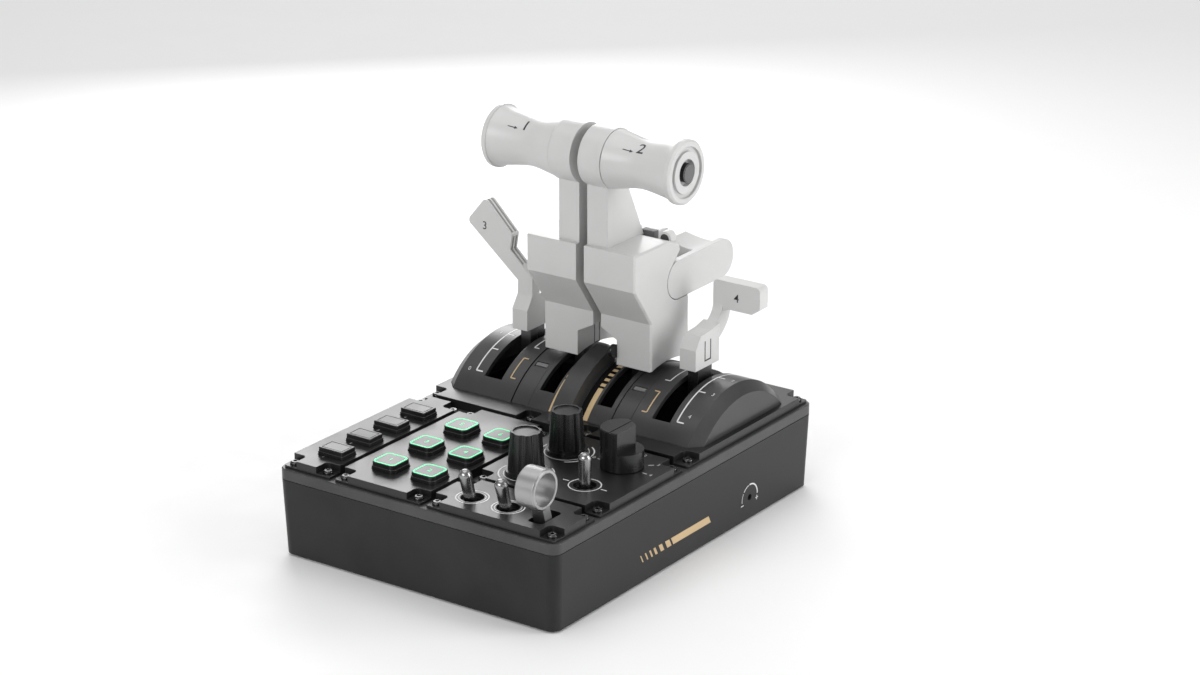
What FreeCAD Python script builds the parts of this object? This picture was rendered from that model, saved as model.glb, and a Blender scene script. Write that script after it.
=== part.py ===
import FreeCAD, Part
import math
import os

# Throttle quadrant for a desk: a low tub with five control panels, a drum of
# curved covers, and four levers that swing about one axle inside it.
# Millimetres. X runs to the right, Y away from the pilot, Z up.
# The origin is the centre of the underside's bolt pattern.

V = FreeCAD.Vector
X_DIR = V(1, 0, 0)
Y_DIR = V(0, 1, 0)
Z_DIR = V(0, 0, 1)

# ---------------------------------------------------------------- housing
body_width = 190.0
body_depth = 256.8
tub_height = 44.6
tub_draft = 1.5          # each side narrows this much towards the underside
body_corner = 6.0
wall = 2.6
rim_height = 6.5
deck_thickness = 3.0
parting_chamfer = 0.5
floor_thickness = 3.0
floor_clearance = 0.2
foot_radius = 9.0
foot_height = 1.2        # how far a foot stands below the underside
foot_recess = 1.0
foot_inset = 22.0
post_radius = 4.8
post_inset = 8.0

mount_spacing = 75.0
mount_hole_radius = 1.65
mount_boss_radius = 5.0
mount_boss_height = 9.0

# ---------------------------------------------------------------- panels
panel_thickness = 5.4
panel_inset = 2.5
panel_corner = 1.6
panel_gap = 3.4
drum_gap = 4.3           # front panels to the drum's panel
left_panel_width = 32.8
mode_panel_width = 59.9
toggle_panel_depth = 38.0
drum_panel_depth = 125.6
notch_size = 9.4
notch_corner = 3.0
notch_half = 5.7          # half the width of a notch in the middle of an edge
notch_ledge = 1.5        # what is left of the panel under a screw head
deck_opening_inset = 11.0
toggle_opening_inset = 5.5
opening_corner = 2.0

screw_inset = 4.6
screw_head_radius = 2.85
screw_head_height = 1.9
screw_head_chamfer = 0.7
screw_shank_radius = 1.45
screw_hole_clearance = 0.05
screw_length = 5.6
bottom_screw_length = 11.0
socket_across = 2.0
socket_depth = 1.2
drum_screw_offset = 20.0  # the two middle screws of the drum's front edge
drum_screw_inset = 6.8

# ---------------------------------------------------------------- drum
axle_setback = 63.4       # from the rear edge of the panels
axle_drop = 36.5          # below the panels' top
axle_radius = 4.0
axle_clearance = 0.05
press_clearance = 0.01
drum_radius = 60.0
drum_half_width = 82.5
drum_end_radius = 54.6
drum_end = 89.0
cover_thickness = 3.0
drum_opening_margin = 5.0
drum_inner_taper = 1.2     # the shell's inside bends this far inboard of its outside
strip_inner = 28.4        # the two inset strips between the slots
strip_outer = 40.4
strip_recess = 0.5
seam_width = 0.5
slot_half_angle = 41.2
throttle_x = 20.1
throttle_slot_width = 10.2
outer_lever_x = 59.0
outer_slot_width = 12.3
rib_half_width = 6.0
rib_rise = 9.5
rib_end_angle = -8.0
rib_wall = 2.4
rib_seat_gap = 0.02
rib_end_wall = 2.0        # degrees
window_width = 8.5
window_angle_from = -26.5
window_angle_to = -22.6
window_depth = 1.6

# ---------------------------------------------------------------- levers
# heights (rise) are above the axle, and distances (back) are behind it;
# a negative one is on the pilot's side
arm_thickness = 7.0
arm_depth = 14.0
hub_radius = 11.8
socket_clearance = 0.05
disc_thickness = 1.2
disc_radius = 10.5
side_play = 0.1
sleeve_radius = 6.0
bracket_width = 8.0
bracket_depth = 24.0
outer_bracket_x = 76.0
bracket_shoulder = 9.0

# throttle heads, given for the right one; the left one is its mirror image
head_inner = 2.75
head_outer = 37.5
head_front_back = -34.9
head_rear_back = 20.5
head_top_rise = 136.7
head_chin_rise = 115.0
head_waist_back = -18.0
head_waist_rise = 91.3
head_step_x = 13.7
head_step_top_rise = 83.2
head_step_bottom_rise = 77.4
head_foot_rise = 60.0
head_shoulder_rise = 98.0
head_nape_back = 13.0
head_nape_rise = 121.0
head_corner_back = 10.7
head_corner_rise = 132.8
head_crown_back = -0.5
head_bottom_gap = 5.0     # the heads sweep this far above the drum
head_chamfer = 1.0
head_arm_top_rise = 88.0
stem_width = 14.05
stem_front_back = -31.5
stem_rear_low_back = 4.5
stem_rear_high_back = -12.0
grip_back = -23.5
grip_rise = 187.8
grip_hub_radius = 17.5
grip_joint_x = 17.6
grip_joint_gap = 0.3
grip_waist_radius = 13.9
grip_waist_x = 38.0
grip_rim_radius = 18.5
grip_end = 64.6
grip_band = 3.6           # the plain band at the end of a grip
spigot_radius = 8.0
spigot_length = 9.0
end_groove_radius = 13.4
end_groove_width = 2.6
end_groove_depth = 1.6
button_radius = 5.5
button_clearance = 0.25
button_recess_radius = 7.6
button_recess_depth = 3.1
button_proud = 1.7
button_length = 11.8
button_travel = 2.0

# reverse levers
reverse_pivot_back = 10.0
reverse_pivot_rise = 111.0
reverse_radius = 11.5
reverse_reach = 45.5
reverse_plate = 3.8
reverse_clearance = 0.5
reverse_swing = 45.0
reverse_bar_inner = 6.5
reverse_bar_low_rise = 105.5
reverse_bar_high_rise = 119.8
reverse_bar_dip = 3.4
reverse_pin_radius = 3.0
reverse_pin_length = 16.0
reverse_skin = 1.0        # the lever's plate closes over the pin

# thumb switch on the back edge of each head
thumb_x = 19.4
thumb_width = 8.6
thumb_back = 7.0
thumb_depth = 4.6
thumb_bottom_rise = 130.0
thumb_top_rise = 138.4
thumb_travel = 1.6
thumb_clearance = 0.25
thumb_rib_pitch = 1.4
boss_x = 31.5
boss_radius = 4.3
boss_back = 4.0
boss_length = 5.6

# speed brake and flaps handles
block_width = 10.8
block_front_back = -12.7
block_rear_back = 11.5
block_bottom_rise = 67.0
block_top_rise = 87.0
block_shoulder_rise = 79.5
block_round = 4.0
block_arm_top_rise = 83.0
paddle_front_back = -7.5
paddle_thickness = 7.0
paddle_lean = 50.3        # degrees that the paddle leans outwards
paddle_length = 47.6
paddle_breadth = 20.9
paddle_round = 3.0
paddle_root_inset = 0.4
paddle_root_rise = 95.3
paddle_step_top = 20.4
paddle_step_foot = 15.5
paddle_step_breadth = 18.2
paddle_neck_breadth = 9.9
groove_width = 1.9
groove_depth = 2.0
groove_bridge = 1.2
groove_end = 4.0
flap_arm_front_back = 17.5
flap_arm_depth = 8.5
flap_arm_width = 6.6
flap_neck_rise = 92.0
flap_plate_width = 31.5
flap_arm_inset = 2.4
flap_plate_corner = 5.3
flap_plate_low_rise = 96.3
flap_plate_high_rise = 113.0
flap_plate_round = 3.0

# ---------------------------------------------------------------- controls
key_inset_x = 20.8        # from the panel's left edge
key_inset_y = 21.4        # from the panel's front edge
key_pitch = 24.4
key_width = 17.0
key_depth = 11.8
key_proud = 4.5
key_travel = 1.2
key_clearance = 0.3
key_corner = 0.8
key_skirt = 0.35          # the lower half of a key is this much larger
key_count = 4
key_mark_depth = 0.25
key_mark_inset = 2.6
key_mark_width = 0.4
mode_inset_x = 20.7
mode_inset_y = 23.9
mode_pitch_x = 27.2
mode_pitch = 32.2
mode_rows = 3
mode_size = 16.0
mode_corner = 3.2
key_pocket_wall = 2.6
key_pocket_roof = 2.4
tact_size = 6.0
tact_height = 2.2
tact_plunger_radius = 1.7

toggle_inset_x = 19.9     # from the right-hand panels' left edge
toggle_inset_y = 15.7     # from the toggle panel's front edge
toggle_pitch = 24.0
side_toggle_inset_x = 59.6
side_toggle_inset_y = 22.9  # from the knob panel's front edge
toggle_lean = 16.0
toggle_pivot_drop = 1.1   # below the deck's top
toggle_ball = 4.7
toggle_base_radius = 3.1
toggle_tip_radius = 3.6
toggle_length = 25.6
bushing_radius = 6.3
bushing_bore = 4.9
bushing_drop = 2.4        # below the panel's top
bushing_height = 9.6
panel_hole_clearance = 0.2
toggle_body_size = 13.0
toggle_body_depth = 9.0

gear_inset_x = 67.5
gear_inset_y = 17.9
gear_slot_inset_y = 16.3
gear_pivot_drop = 7.1     # below the deck's top
gear_slot_width = 9.6
gear_slot_length = 19.2
gear_slot_corner = 2.2
gear_stem_width = 8.0
gear_stem_depth = 6.0
gear_reach = 33.1
gear_ring_radius = 11.5
gear_ring_bore = 9.2
gear_ring_width = 12.5
gear_barrel_radius = 4.0
gear_pin_radius = 1.6
gear_cheek = 2.4
gear_cheek_gap = 0.3

knob_inset_x = 23.4
knob_inset_y = 18.5
knob_pitch = 38.0
knob_flange_radius = 11.8
knob_flange_height = 2.2
knob_foot_radius = 10.3
knob_top_radius = 8.7
knob_height = 24.6
knob_dish_depth = 0.8
knob_flutes = 8
knob_flute_radius = 4.0
knob_flute_bite = 0.7
knob_flute_start = 1.2
knob_rim = 1.6
control_gap = 0.5          # underside of a knob to its panel
shaft_radius = 3.0
shaft_clearance = 0.05
shaft_end_gap = 2.0
encoder_size = 13.0
encoder_depth = 9.0

selector_inset_x = 60.8
selector_inset_y = 56.5
selector_radius = 12.2
selector_height = 23.2
selector_skirt_height = 10.3
selector_flat = 4.6
selector_line_width = 1.0
selector_line_depth = 0.4
selector_line_reach = 10.2
selector_back = 6.5         # where the flat ends towards the back
selector_back_angle = 60.0

# ---------------------------------------------------------------- inside
board_x = 120.0
board_y = 60.0
board_inset_y = 43.4      # from the body's front to the board's middle
board_thickness = 1.6
board_hole_inset = 5.0
board_plugs = 5
board_plug_pitch = 20.0
board_plug_width = 10.0
board_plug_depth = 6.0
board_plug_gap = 1.0
chip_size = 16.0
chip_height = 1.4
standoff_height = 5.0
standoff_radius = 3.2
usb_x = 40.0
usb_z = 14.0
usb_width = 8.9
usb_height = 3.2
usb_length = 7.4
usb_shell = 0.35
usb_tongue = 0.7
usb_tongue_margin = 1.2
usb_recess = 0.2
friction_screw_radius = 2.0
friction_screw_drop = 6.7      # how far it lies below the axle
friction_screw_end = 86.0
friction_hole_radius = 2.0
friction_socket_across = 2.0
friction_socket_depth = 3.0
sensor_thickness = 1.6
sensor_width = 14.0
sensor_gap = 1.5

# ---------------------------------------------------------------- derived
deck_top = tub_height + rim_height
panel_top = deck_top + panel_thickness
ledge_z = deck_top + notch_ledge
panel_x0 = -body_width / 2 + panel_inset
panel_x1 = body_width / 2 - panel_inset
panel_y0 = -body_depth / 2 + panel_inset
panel_y1 = body_depth / 2 - panel_inset
drum_panel_y0 = panel_y1 - drum_panel_depth
front_panel_y1 = drum_panel_y0 - drum_gap
left_x1 = panel_x0 + left_panel_width
mode_x0 = left_x1 + panel_gap
mode_x1 = mode_x0 + mode_panel_width
right_x0 = mode_x1 + panel_gap
toggle_y1 = panel_y0 + toggle_panel_depth
knob_y0 = toggle_y1 + panel_gap
post_x = body_width / 2 - post_inset
post_y = body_depth / 2 - post_inset
far = 400.0
axle_y = panel_y1 - axle_setback
axle_z = panel_top - axle_drop
key_x = panel_x0 + key_inset_x
key_first_y = panel_y0 + key_inset_y
mode_x = (mode_x0 + mode_inset_x, mode_x0 + mode_inset_x + mode_pitch_x)
mode_first_y = panel_y0 + mode_inset_y
toggle_places = ((right_x0 + toggle_inset_x, panel_y0 + toggle_inset_y),
                 (right_x0 + toggle_inset_x + toggle_pitch, panel_y0 + toggle_inset_y),
                 (right_x0 + side_toggle_inset_x, knob_y0 + side_toggle_inset_y))
toggle_pivot_z = deck_top - toggle_pivot_drop
bushing_top = panel_top - bushing_drop
bushing_bottom = bushing_top - bushing_height
gear_x = right_x0 + gear_inset_x
gear_y = panel_y0 + gear_inset_y
gear_slot_y = panel_y0 + gear_slot_inset_y
gear_pivot_z = deck_top - gear_pivot_drop
knob_x = right_x0 + knob_inset_x
knob_y = (knob_y0 + knob_inset_y, knob_y0 + knob_inset_y + knob_pitch)
selector_x = right_x0 + selector_inset_x
selector_y = knob_y0 + selector_inset_y
board_centre_y = -body_depth / 2 + board_inset_y
head_foot = axle_z + head_foot_rise
head_shoulder = axle_z + head_shoulder_rise
head_nape_y = axle_y + head_nape_back
head_nape_z = axle_z + head_nape_rise
head_corner_y = axle_y + head_corner_back
head_corner_z = axle_z + head_corner_rise
head_crown_y = axle_y + head_crown_back
head_top = axle_z + head_top_rise
head_chin = axle_z + head_chin_rise
head_waist_z = axle_z + head_waist_rise
head_step_top = axle_z + head_step_top_rise
head_step_bottom = axle_z + head_step_bottom_rise
head_arm_top = axle_z + head_arm_top_rise
grip_z = axle_z + grip_rise
reverse_pivot_z = axle_z + reverse_pivot_rise
reverse_bar_low = axle_z + reverse_bar_low_rise
reverse_bar_high = axle_z + reverse_bar_high_rise
thumb_bottom = axle_z + thumb_bottom_rise
thumb_top = axle_z + thumb_top_rise
block_bottom = axle_z + block_bottom_rise
block_top = axle_z + block_top_rise
block_shoulder = axle_z + block_shoulder_rise
block_arm_top = axle_z + block_arm_top_rise
paddle_root_z = axle_z + paddle_root_rise
flap_neck_z = axle_z + flap_neck_rise
flap_plate_low = axle_z + flap_plate_low_rise
flap_plate_high = axle_z + flap_plate_high_rise
head_front = axle_y + head_front_back
head_rear = axle_y + head_rear_back
head_waist_y = axle_y + head_waist_back
stem_front = axle_y + stem_front_back
stem_rear_low = axle_y + stem_rear_low_back
stem_rear_high = axle_y + stem_rear_high_back
grip_y = axle_y + grip_back
reverse_pivot_y = axle_y + reverse_pivot_back
thumb_y = axle_y + thumb_back
boss_y = axle_y + boss_back
block_front = axle_y + block_front_back
block_rear = axle_y + block_rear_back
paddle_front = axle_y + paddle_front_back
flap_arm_front = axle_y + flap_arm_front_back


# ---------------------------------------------------------------- helpers
def box(x0, x1, y0, y1, z0, z1):
    return Part.makeBox(x1 - x0, y1 - y0, z1 - z0, V(x0, y0, z0))


def rounded_wire(x0, x1, y0, y1, z, r):
    k = r * (1 - math.sqrt(0.5))
    corners = [
        (V(x1 - r, y0, z), V(x1 - k, y0 + k, z), V(x1, y0 + r, z)),
        (V(x1, y1 - r, z), V(x1 - k, y1 - k, z), V(x1 - r, y1, z)),
        (V(x0 + r, y1, z), V(x0 + k, y1 - k, z), V(x0, y1 - r, z)),
        (V(x0, y0 + r, z), V(x0 + k, y0 + k, z), V(x0 + r, y0, z)),
    ]
    edges = []
    for i, (start, middle, end) in enumerate(corners):
        edges.append(Part.Arc(start, middle, end).toShape())
        edges.append(Part.LineSegment(end, corners[(i + 1) % 4][0]).toShape())
    return Part.Wire(edges)


def rounded_box(x0, x1, y0, y1, z0, z1, r):
    face = Part.Face(rounded_wire(x0, x1, y0, y1, z0, r))
    return face.extrude(V(0, 0, z1 - z0))


def centred_box(x, y, width, depth, z0, z1, r):
    return rounded_box(x - width / 2, x + width / 2, y - depth / 2, y + depth / 2, z0, z1, r)


def cylinder(radius, start, direction, length):
    return Part.makeCylinder(radius, length, start, direction)


def along_x(radius, x0, x1, y=axle_y, z=axle_z):
    return cylinder(radius, V(x0, y, z), X_DIR, x1 - x0)


def prism_x(outline, x0, x1):
    """outline is a list of (y, z), extruded from x0 to x1"""
    points = [V(x0, y, z) for y, z in outline]
    return Part.Face(Part.makePolygon(points + points[:1])).extrude(V(x1 - x0, 0, 0))


def prism_y(outline, y0, y1):
    """outline is a list of (x, z), extruded from y0 to y1"""
    points = [V(x, y0, z) for x, z in outline]
    return Part.Face(Part.makePolygon(points + points[:1])).extrude(V(0, y1 - y0, 0))


def on_drum(radius, angle):
    """the (y, z) at an angle from straight up, positive towards the back"""
    a = math.radians(angle)
    return (axle_y + radius * math.sin(a), axle_z + radius * math.cos(a))


def wedge_x(angle_from, angle_to, x0, x1, reach=far):
    outline = [(axle_y, axle_z), on_drum(reach, angle_from), on_drum(reach, angle_to)]
    return prism_x(outline, x0, x1)


def curved_prism_x(upper, top, lower, closing, x0, x1):
    """a sheet between two smooth curves of (y, z) points, joined by straight runs"""
    def at(points):
        return [V(x0, y, z) for y, z in points]

    def straight(points):
        return [Part.LineSegment(a, b).toShape() for a, b in zip(points, points[1:])]

    curves = []
    for points in (upper, lower):
        curve = Part.BSplineCurve()
        curve.interpolate(at(points))
        curves.append(curve.toShape())
    edges = [curves[0]] + straight(at([upper[-1]] + top + [lower[0]]))
    edges += [curves[1]] + straight(at(closing))
    return Part.Face(Part.Wire(edges)).extrude(V(x1 - x0, 0, 0))


def fuse(shapes):
    return shapes[0].fuse(shapes[1:]).removeSplitter()


def mirrored(shape):
    return shape.mirror(V(0, 0, 0), X_DIR)


def turned(shape, centre, axis, angle):
    copy = shape.copy()
    copy.rotate(centre, axis, angle)
    return copy


def hexagon(across, centre, direction, depth):
    """a hexagonal prism that starts at centre and runs along direction"""
    radius = across / math.sqrt(3)
    points = [V(radius * math.cos(math.radians(60 * i)), radius * math.sin(math.radians(60 * i)), 0)
              for i in range(6)]
    prism = Part.Face(Part.makePolygon(points + points[:1])).extrude(V(0, 0, depth))
    prism.Placement = FreeCAD.Placement(centre, FreeCAD.Rotation(Z_DIR, direction))
    return prism


def chamfer_at(shape, size, test):
    return shape.makeChamfer(size, [e for e in shape.Edges if test(e)])


def fillet_at(shape, size, test):
    return shape.makeFillet(size, [e for e in shape.Edges if test(e)])


def all_near(edge, axis, value):
    """true where the whole edge lies in the plane axis = value"""
    return all(abs(getattr(v.Point, axis) - value) < 1e-4 for v in edge.Vertexes)


def save(name, shape):
    shape.exportStep("parts/" + name + ".step")


# ---------------------------------------------------------------- places
def panel_rectangles():
    return {
        "left_key_panel": (panel_x0, left_x1, panel_y0, front_panel_y1),
        "mode_key_panel": (mode_x0, mode_x1, panel_y0, front_panel_y1),
        "toggle_panel": (right_x0, panel_x1, panel_y0, toggle_y1),
        "knob_panel": (right_x0, panel_x1, knob_y0, front_panel_y1),
    }


def corner_screws(rectangle):
    x0, x1, y0, y1 = rectangle
    s = screw_inset
    return [(x0 + s, y0 + s), (x1 - s, y0 + s), (x0 + s, y1 - s), (x1 - s, y1 - s)]


def drum_screws():
    y = drum_panel_y0 + drum_screw_inset
    front = [(x, y) for x in (panel_x0 + screw_inset, -drum_screw_offset,
                              drum_screw_offset, panel_x1 - screw_inset)]
    back = [(x, panel_y1 - screw_inset) for x in (panel_x0 + screw_inset, panel_x1 - screw_inset)]
    return front + back


def key_places():
    return [(key_x, key_first_y + key_pitch * i) for i in range(key_count)]


def mode_places():
    return [(x, mode_first_y + mode_pitch * row) for row in range(mode_rows) for x in mode_x]


def post_places():
    return [(sx * post_x, y) for sx in (-1, 1) for y in (-post_y, 0.0, post_y)]


def mount_places():
    half = mount_spacing / 2
    return [(sx * half, sy * half) for sx in (-1, 1) for sy in (-1, 1)]


# ---------------------------------------------------------------- housing
def tapered_block(inset, z0, z1, corner):
    """the body's outline, drawn in by inset, between two heights of the tub"""
    def outline(z):
        shrink = tub_draft * (1 - z / tub_height) + inset
        w = body_width / 2 - shrink
        d = body_depth / 2 - shrink
        return rounded_wire(-w, w, -d, d, z, corner)
    return Part.makeLoft([outline(z0), outline(z1)], True, True)


def base_tub():
    outer = tapered_block(0.0, 0.0, tub_height, body_corner)
    inner = tapered_block(wall, 0.0, tub_height, body_corner - wall)
    tub = outer.cut(inner)
    posts = [cylinder(post_radius, V(x, y, floor_thickness), Z_DIR, tub_height - floor_thickness)
             for x, y in post_places()]
    tub = tub.fuse([p.common(outer) for p in posts])
    hole_radius = screw_shank_radius + screw_hole_clearance
    cuts = [cylinder(hole_radius, V(x, y, 0), Z_DIR, bottom_screw_length + screw_head_height + 1)
            for x, y in post_places()]
    cuts.append(along_x(friction_hole_radius, body_width / 2 - 3 * wall, body_width / 2 + wall,
                        axle_y, axle_z - friction_screw_drop))
    w = usb_width + 2 * floor_clearance
    h = usb_height + 2 * floor_clearance
    cuts.append(box(usb_x - w / 2, usb_x + w / 2, body_depth / 2 - 3 * wall, body_depth / 2 + wall,
                    usb_z - h / 2, usb_z + h / 2))
    return tub.cut(cuts)


def rim_frame():
    w = body_width / 2
    d = body_depth / 2
    block = rounded_box(-w, w, -d, d, tub_height, deck_top, body_corner)
    block = chamfer_at(block, parting_chamfer, lambda e: all_near(e, "z", tub_height))
    block = chamfer_at(block, parting_chamfer, lambda e: all_near(e, "z", deck_top))
    under = rounded_box(-w + wall, w - wall, -d + wall, d - wall, tub_height,
                        deck_top - deck_thickness, body_corner - wall)
    inset = deck_opening_inset
    openings = [under]
    for name, dy in (("toggle_panel", toggle_opening_inset), ("knob_panel", inset)):
        x0, x1, y0, y1 = panel_rectangles()[name]
        openings.append(rounded_box(x0 + inset, x1 - inset, y0 + dy, y1 - dy, tub_height, deck_top,
                                    opening_corner))
    half = drum_half_width - drum_opening_margin
    y0 = axle_y - drum_foot() + drum_opening_margin
    y1 = axle_y + drum_foot() - drum_opening_margin
    openings.append(rounded_box(-half, half, y0, y1, tub_height, deck_top, opening_corner))
    frame = block.cut(openings)
    hole_radius = screw_shank_radius + screw_hole_clearance
    holes = [cylinder(hole_radius, V(x, y, tub_height), Z_DIR, rim_height) for x, y in all_panel_screws()]
    return frame.cut(holes)


def drum_foot():
    """half the drum's length where it meets its panel"""
    return math.sqrt(drum_radius ** 2 - (panel_top - axle_z) ** 2)


def bottom_plate():
    inset = wall + floor_clearance
    w = body_width / 2 - tub_draft - inset
    d = body_depth / 2 - tub_draft - inset
    corner = body_corner - wall
    plate = rounded_box(-w, w, -d, d, 0.0, floor_thickness, corner)
    bosses = [cylinder(mount_boss_radius, V(x, y, 0), Z_DIR, mount_boss_height) for x, y in mount_places()]
    standoffs = [cylinder(standoff_radius, V(x, y, 0), Z_DIR, floor_thickness + standoff_height)
                 for x, y in board_corners()]
    plate = plate.fuse(bosses + standoffs)
    cuts = [cylinder(mount_hole_radius, V(x, y, 0), Z_DIR, mount_boss_height) for x, y in mount_places()]
    for x, y in post_places():
        cuts.append(cylinder(screw_shank_radius + screw_hole_clearance, V(x, y, 0), Z_DIR, floor_thickness))
        cuts.append(cylinder(screw_head_radius + floor_clearance, V(x, y, 0), Z_DIR, screw_head_height))
    cuts += [cylinder(foot_radius + screw_hole_clearance, V(x, y, 0), Z_DIR, foot_recess)
             for x, y in foot_places()]
    return plate.cut(cuts)


def board_corners():
    half_x = board_x / 2 - board_hole_inset
    half_y = board_y / 2 - board_hole_inset
    return [(sx * half_x, board_centre_y + sy * half_y)
            for sx in (-1, 1) for sy in (-1, 1)]


def foot_places():
    x = body_width / 2 - foot_inset
    y = body_depth / 2 - foot_inset
    return [(sx * x, sy * y) for sx in (-1, 1) for sy in (-1, 1)]


def rubber_feet():
    feet = []
    for x, y in foot_places():
        foot = cylinder(foot_radius, V(x, y, -foot_height), Z_DIR, foot_height + foot_recess)
        feet.append(foot.makeChamfer(parting_chamfer, [foot.Edges[2]]))
    return Part.makeCompound(feet)


def screw(x, y, seat, direction, length):
    """a button-head socket screw whose head stands on the plane z = seat"""
    head_start = V(x, y, seat)
    head = cylinder(screw_head_radius, head_start, direction, screw_head_height)
    top_z = seat + direction.z * screw_head_height
    head = chamfer_at(head, screw_head_chamfer, lambda e: all_near(e, "z", top_z))
    socket = hexagon(socket_across, V(x, y, top_z), direction * -1, socket_depth)
    shank = cylinder(screw_shank_radius, head_start, direction * -1, length)
    return head.cut(socket).fuse(shank).removeSplitter()


def all_panel_screws():
    places = []
    for rectangle in panel_rectangles().values():
        places += corner_screws(rectangle)
    return places + drum_screws()


def cover_screws():
    """every small button-head screw: those of the panels and those underneath"""
    down = V(0, 0, -1)
    screws = [screw(x, y, ledge_z, Z_DIR, screw_length) for x, y in all_panel_screws()]
    screws += [screw(x, y, screw_head_height, down, bottom_screw_length) for x, y in post_places()]
    return Part.makeCompound(screws)


# ---------------------------------------------------------------- panels
def notch_span(centre, low, high):
    """a notch runs past the edge that its screw stands at, or lies evenly about the screw"""
    if centre - low < notch_size:
        return low - notch_size, centre + notch_size - screw_inset
    if high - centre < notch_size:
        return centre - notch_size + screw_inset, high + notch_size
    return centre - notch_half, centre + notch_half


def notched_panel(rectangle, screws):
    """a panel with a stepped notch round each screw that stands at its edge"""
    x0, x1, y0, y1 = rectangle
    panel = rounded_box(x0, x1, y0, y1, deck_top, panel_top, panel_corner)
    cuts = []
    for x, y in screws:
        nx0, nx1 = notch_span(x, x0, x1)
        ny0, ny1 = notch_span(y, y0, y1)
        cuts.append(rounded_box(nx0, nx1, ny0, ny1, ledge_z, far, notch_corner))
        cuts.append(cylinder(screw_shank_radius + screw_hole_clearance, V(x, y, deck_top), Z_DIR, far))
    return panel.cut(cuts)


def key_openings(places, width, depth, corner):
    c = 2 * (key_clearance + key_skirt)
    return [centred_box(x, y, width + c, depth + c, deck_top, panel_top, corner + key_clearance)
            for x, y in places]


def left_key_panel():
    rectangle = panel_rectangles()["left_key_panel"]
    panel = notched_panel(rectangle, corner_screws(rectangle))
    return panel.cut(key_openings(key_places(), key_width, key_depth, key_corner))


def mode_key_panel():
    rectangle = panel_rectangles()["mode_key_panel"]
    panel = notched_panel(rectangle, corner_screws(rectangle))
    return panel.cut(key_openings(mode_places(), mode_size, mode_size, mode_corner))


def round_opening(x, y, radius):
    return cylinder(radius, V(x, y, deck_top - 1), Z_DIR, panel_thickness + 2)


def toggle_panel():
    rectangle = panel_rectangles()["toggle_panel"]
    panel = notched_panel(rectangle, corner_screws(rectangle))
    cuts = [round_opening(x, y, bushing_radius + panel_hole_clearance) for x, y in toggle_places[:2]]
    cuts.append(centred_box(gear_x, gear_slot_y, gear_slot_width, gear_slot_length, deck_top,
                            panel_top, gear_slot_corner))
    return panel.cut(cuts)


def knob_panel():
    rectangle = panel_rectangles()["knob_panel"]
    panel = notched_panel(rectangle, corner_screws(rectangle))
    x, y = toggle_places[2]
    cuts = [round_opening(x, y, bushing_radius + panel_hole_clearance)]
    cuts += [round_opening(knob_x, ky, shaft_radius + panel_hole_clearance) for ky in knob_y]
    cuts.append(round_opening(selector_x, selector_y, shaft_radius + panel_hole_clearance))
    return panel.cut(cuts)


def quadrant_panel():
    rectangle = (panel_x0, panel_x1, drum_panel_y0, panel_y1)
    panel = notched_panel(rectangle, drum_screws())
    half = drum_half_width - drum_opening_margin
    reach = drum_foot() - drum_opening_margin
    opening = rounded_box(-half, half, axle_y - reach, axle_y + reach, deck_top, panel_top,
                          opening_corner)
    return panel.cut(opening)


# ---------------------------------------------------------------- drum
def drum_solid(shrink):
    """the whole drum as a turned solid, drawn in by shrink"""
    end = drum_end - shrink
    half = drum_half_width - (drum_inner_taper if shrink else 0.0)
    points = [(-end, 0), (-end, drum_end_radius - shrink), (-half, drum_radius - shrink),
              (half, drum_radius - shrink), (end, drum_end_radius - shrink), (end, 0)]
    wire = Part.makePolygon([V(x, axle_y, axle_z + r) for x, r in points + points[:1]])
    drum = Part.Face(wire).revolve(V(0, axle_y, axle_z), X_DIR, 360)
    return drum.cut(box(-far, far, -far, far, -far, panel_top))


def cover_shell():
    shell = drum_solid(0.0).cut(drum_solid(cover_thickness))
    slots = []
    for x, width in ((throttle_x, throttle_slot_width), (outer_lever_x, outer_slot_width)):
        for side in (-1, 1):
            slots.append(wedge_x(-slot_half_angle, slot_half_angle,
                                 side * x - width / 2, side * x + width / 2))
    return shell.cut(slots)


def arc_covers():
    shell = cover_shell()
    g = seam_width / 2
    spans = {
        "arc_cover_left": (-far, -strip_outer - g),
        "arc_cover_middle": (-strip_inner + g, strip_inner - g),
        "arc_cover_right": (strip_outer + g, far),
    }
    return {name: shell.common(box(x0, x1, -far, far, -far, far)) for name, (x0, x1) in spans.items()}


def window_strip(side):
    """an inset strip with a shallow lamp window near its foot"""
    x = side * (strip_inner + strip_outer) / 2
    half = (strip_outer - strip_inner) / 2 - seam_width / 2
    face = drum_radius - strip_recess
    ring = along_x(face, x - half, x + half)
    ring = ring.cut(along_x(face - cover_thickness + strip_recess, x - half, x + half))
    ring = ring.cut(box(-far, far, -far, far, -far, panel_top))
    w = window_width / 2
    recess = along_x(face + 1, x - w, x + w).cut(along_x(face - window_depth, x - w, x + w))
    return ring.cut(recess.common(wedge_x(window_angle_from, window_angle_to, x - w, x + w)))


def centre_rib():
    """the raised guide between the two throttle slots; it ends short of the top"""
    x0, x1 = -rib_half_width, rib_half_width
    outer = drum_radius + rib_rise
    ring = along_x(outer, x0, x1).cut(along_x(drum_radius + rib_seat_gap, x0, x1))
    rib = ring.common(wedge_x(-89, rib_end_angle, x0, x1))
    hollow = along_x(outer - rib_wall, x0 + rib_wall, x1 - rib_wall)
    hollow = hollow.common(wedge_x(-89, rib_end_angle - rib_end_wall, x0, x1))
    return rib.cut([hollow, box(-far, far, -far, far, -far, panel_top)])


# ---------------------------------------------------------------- axle
def axle_stations():
    """where the hubs stand along the axle, from left to right"""
    return (-outer_lever_x, -throttle_x, throttle_x, outer_lever_x)


def main_axle():
    reach = outer_bracket_x + bracket_width / 2
    return along_x(axle_radius, -reach, reach)


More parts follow.
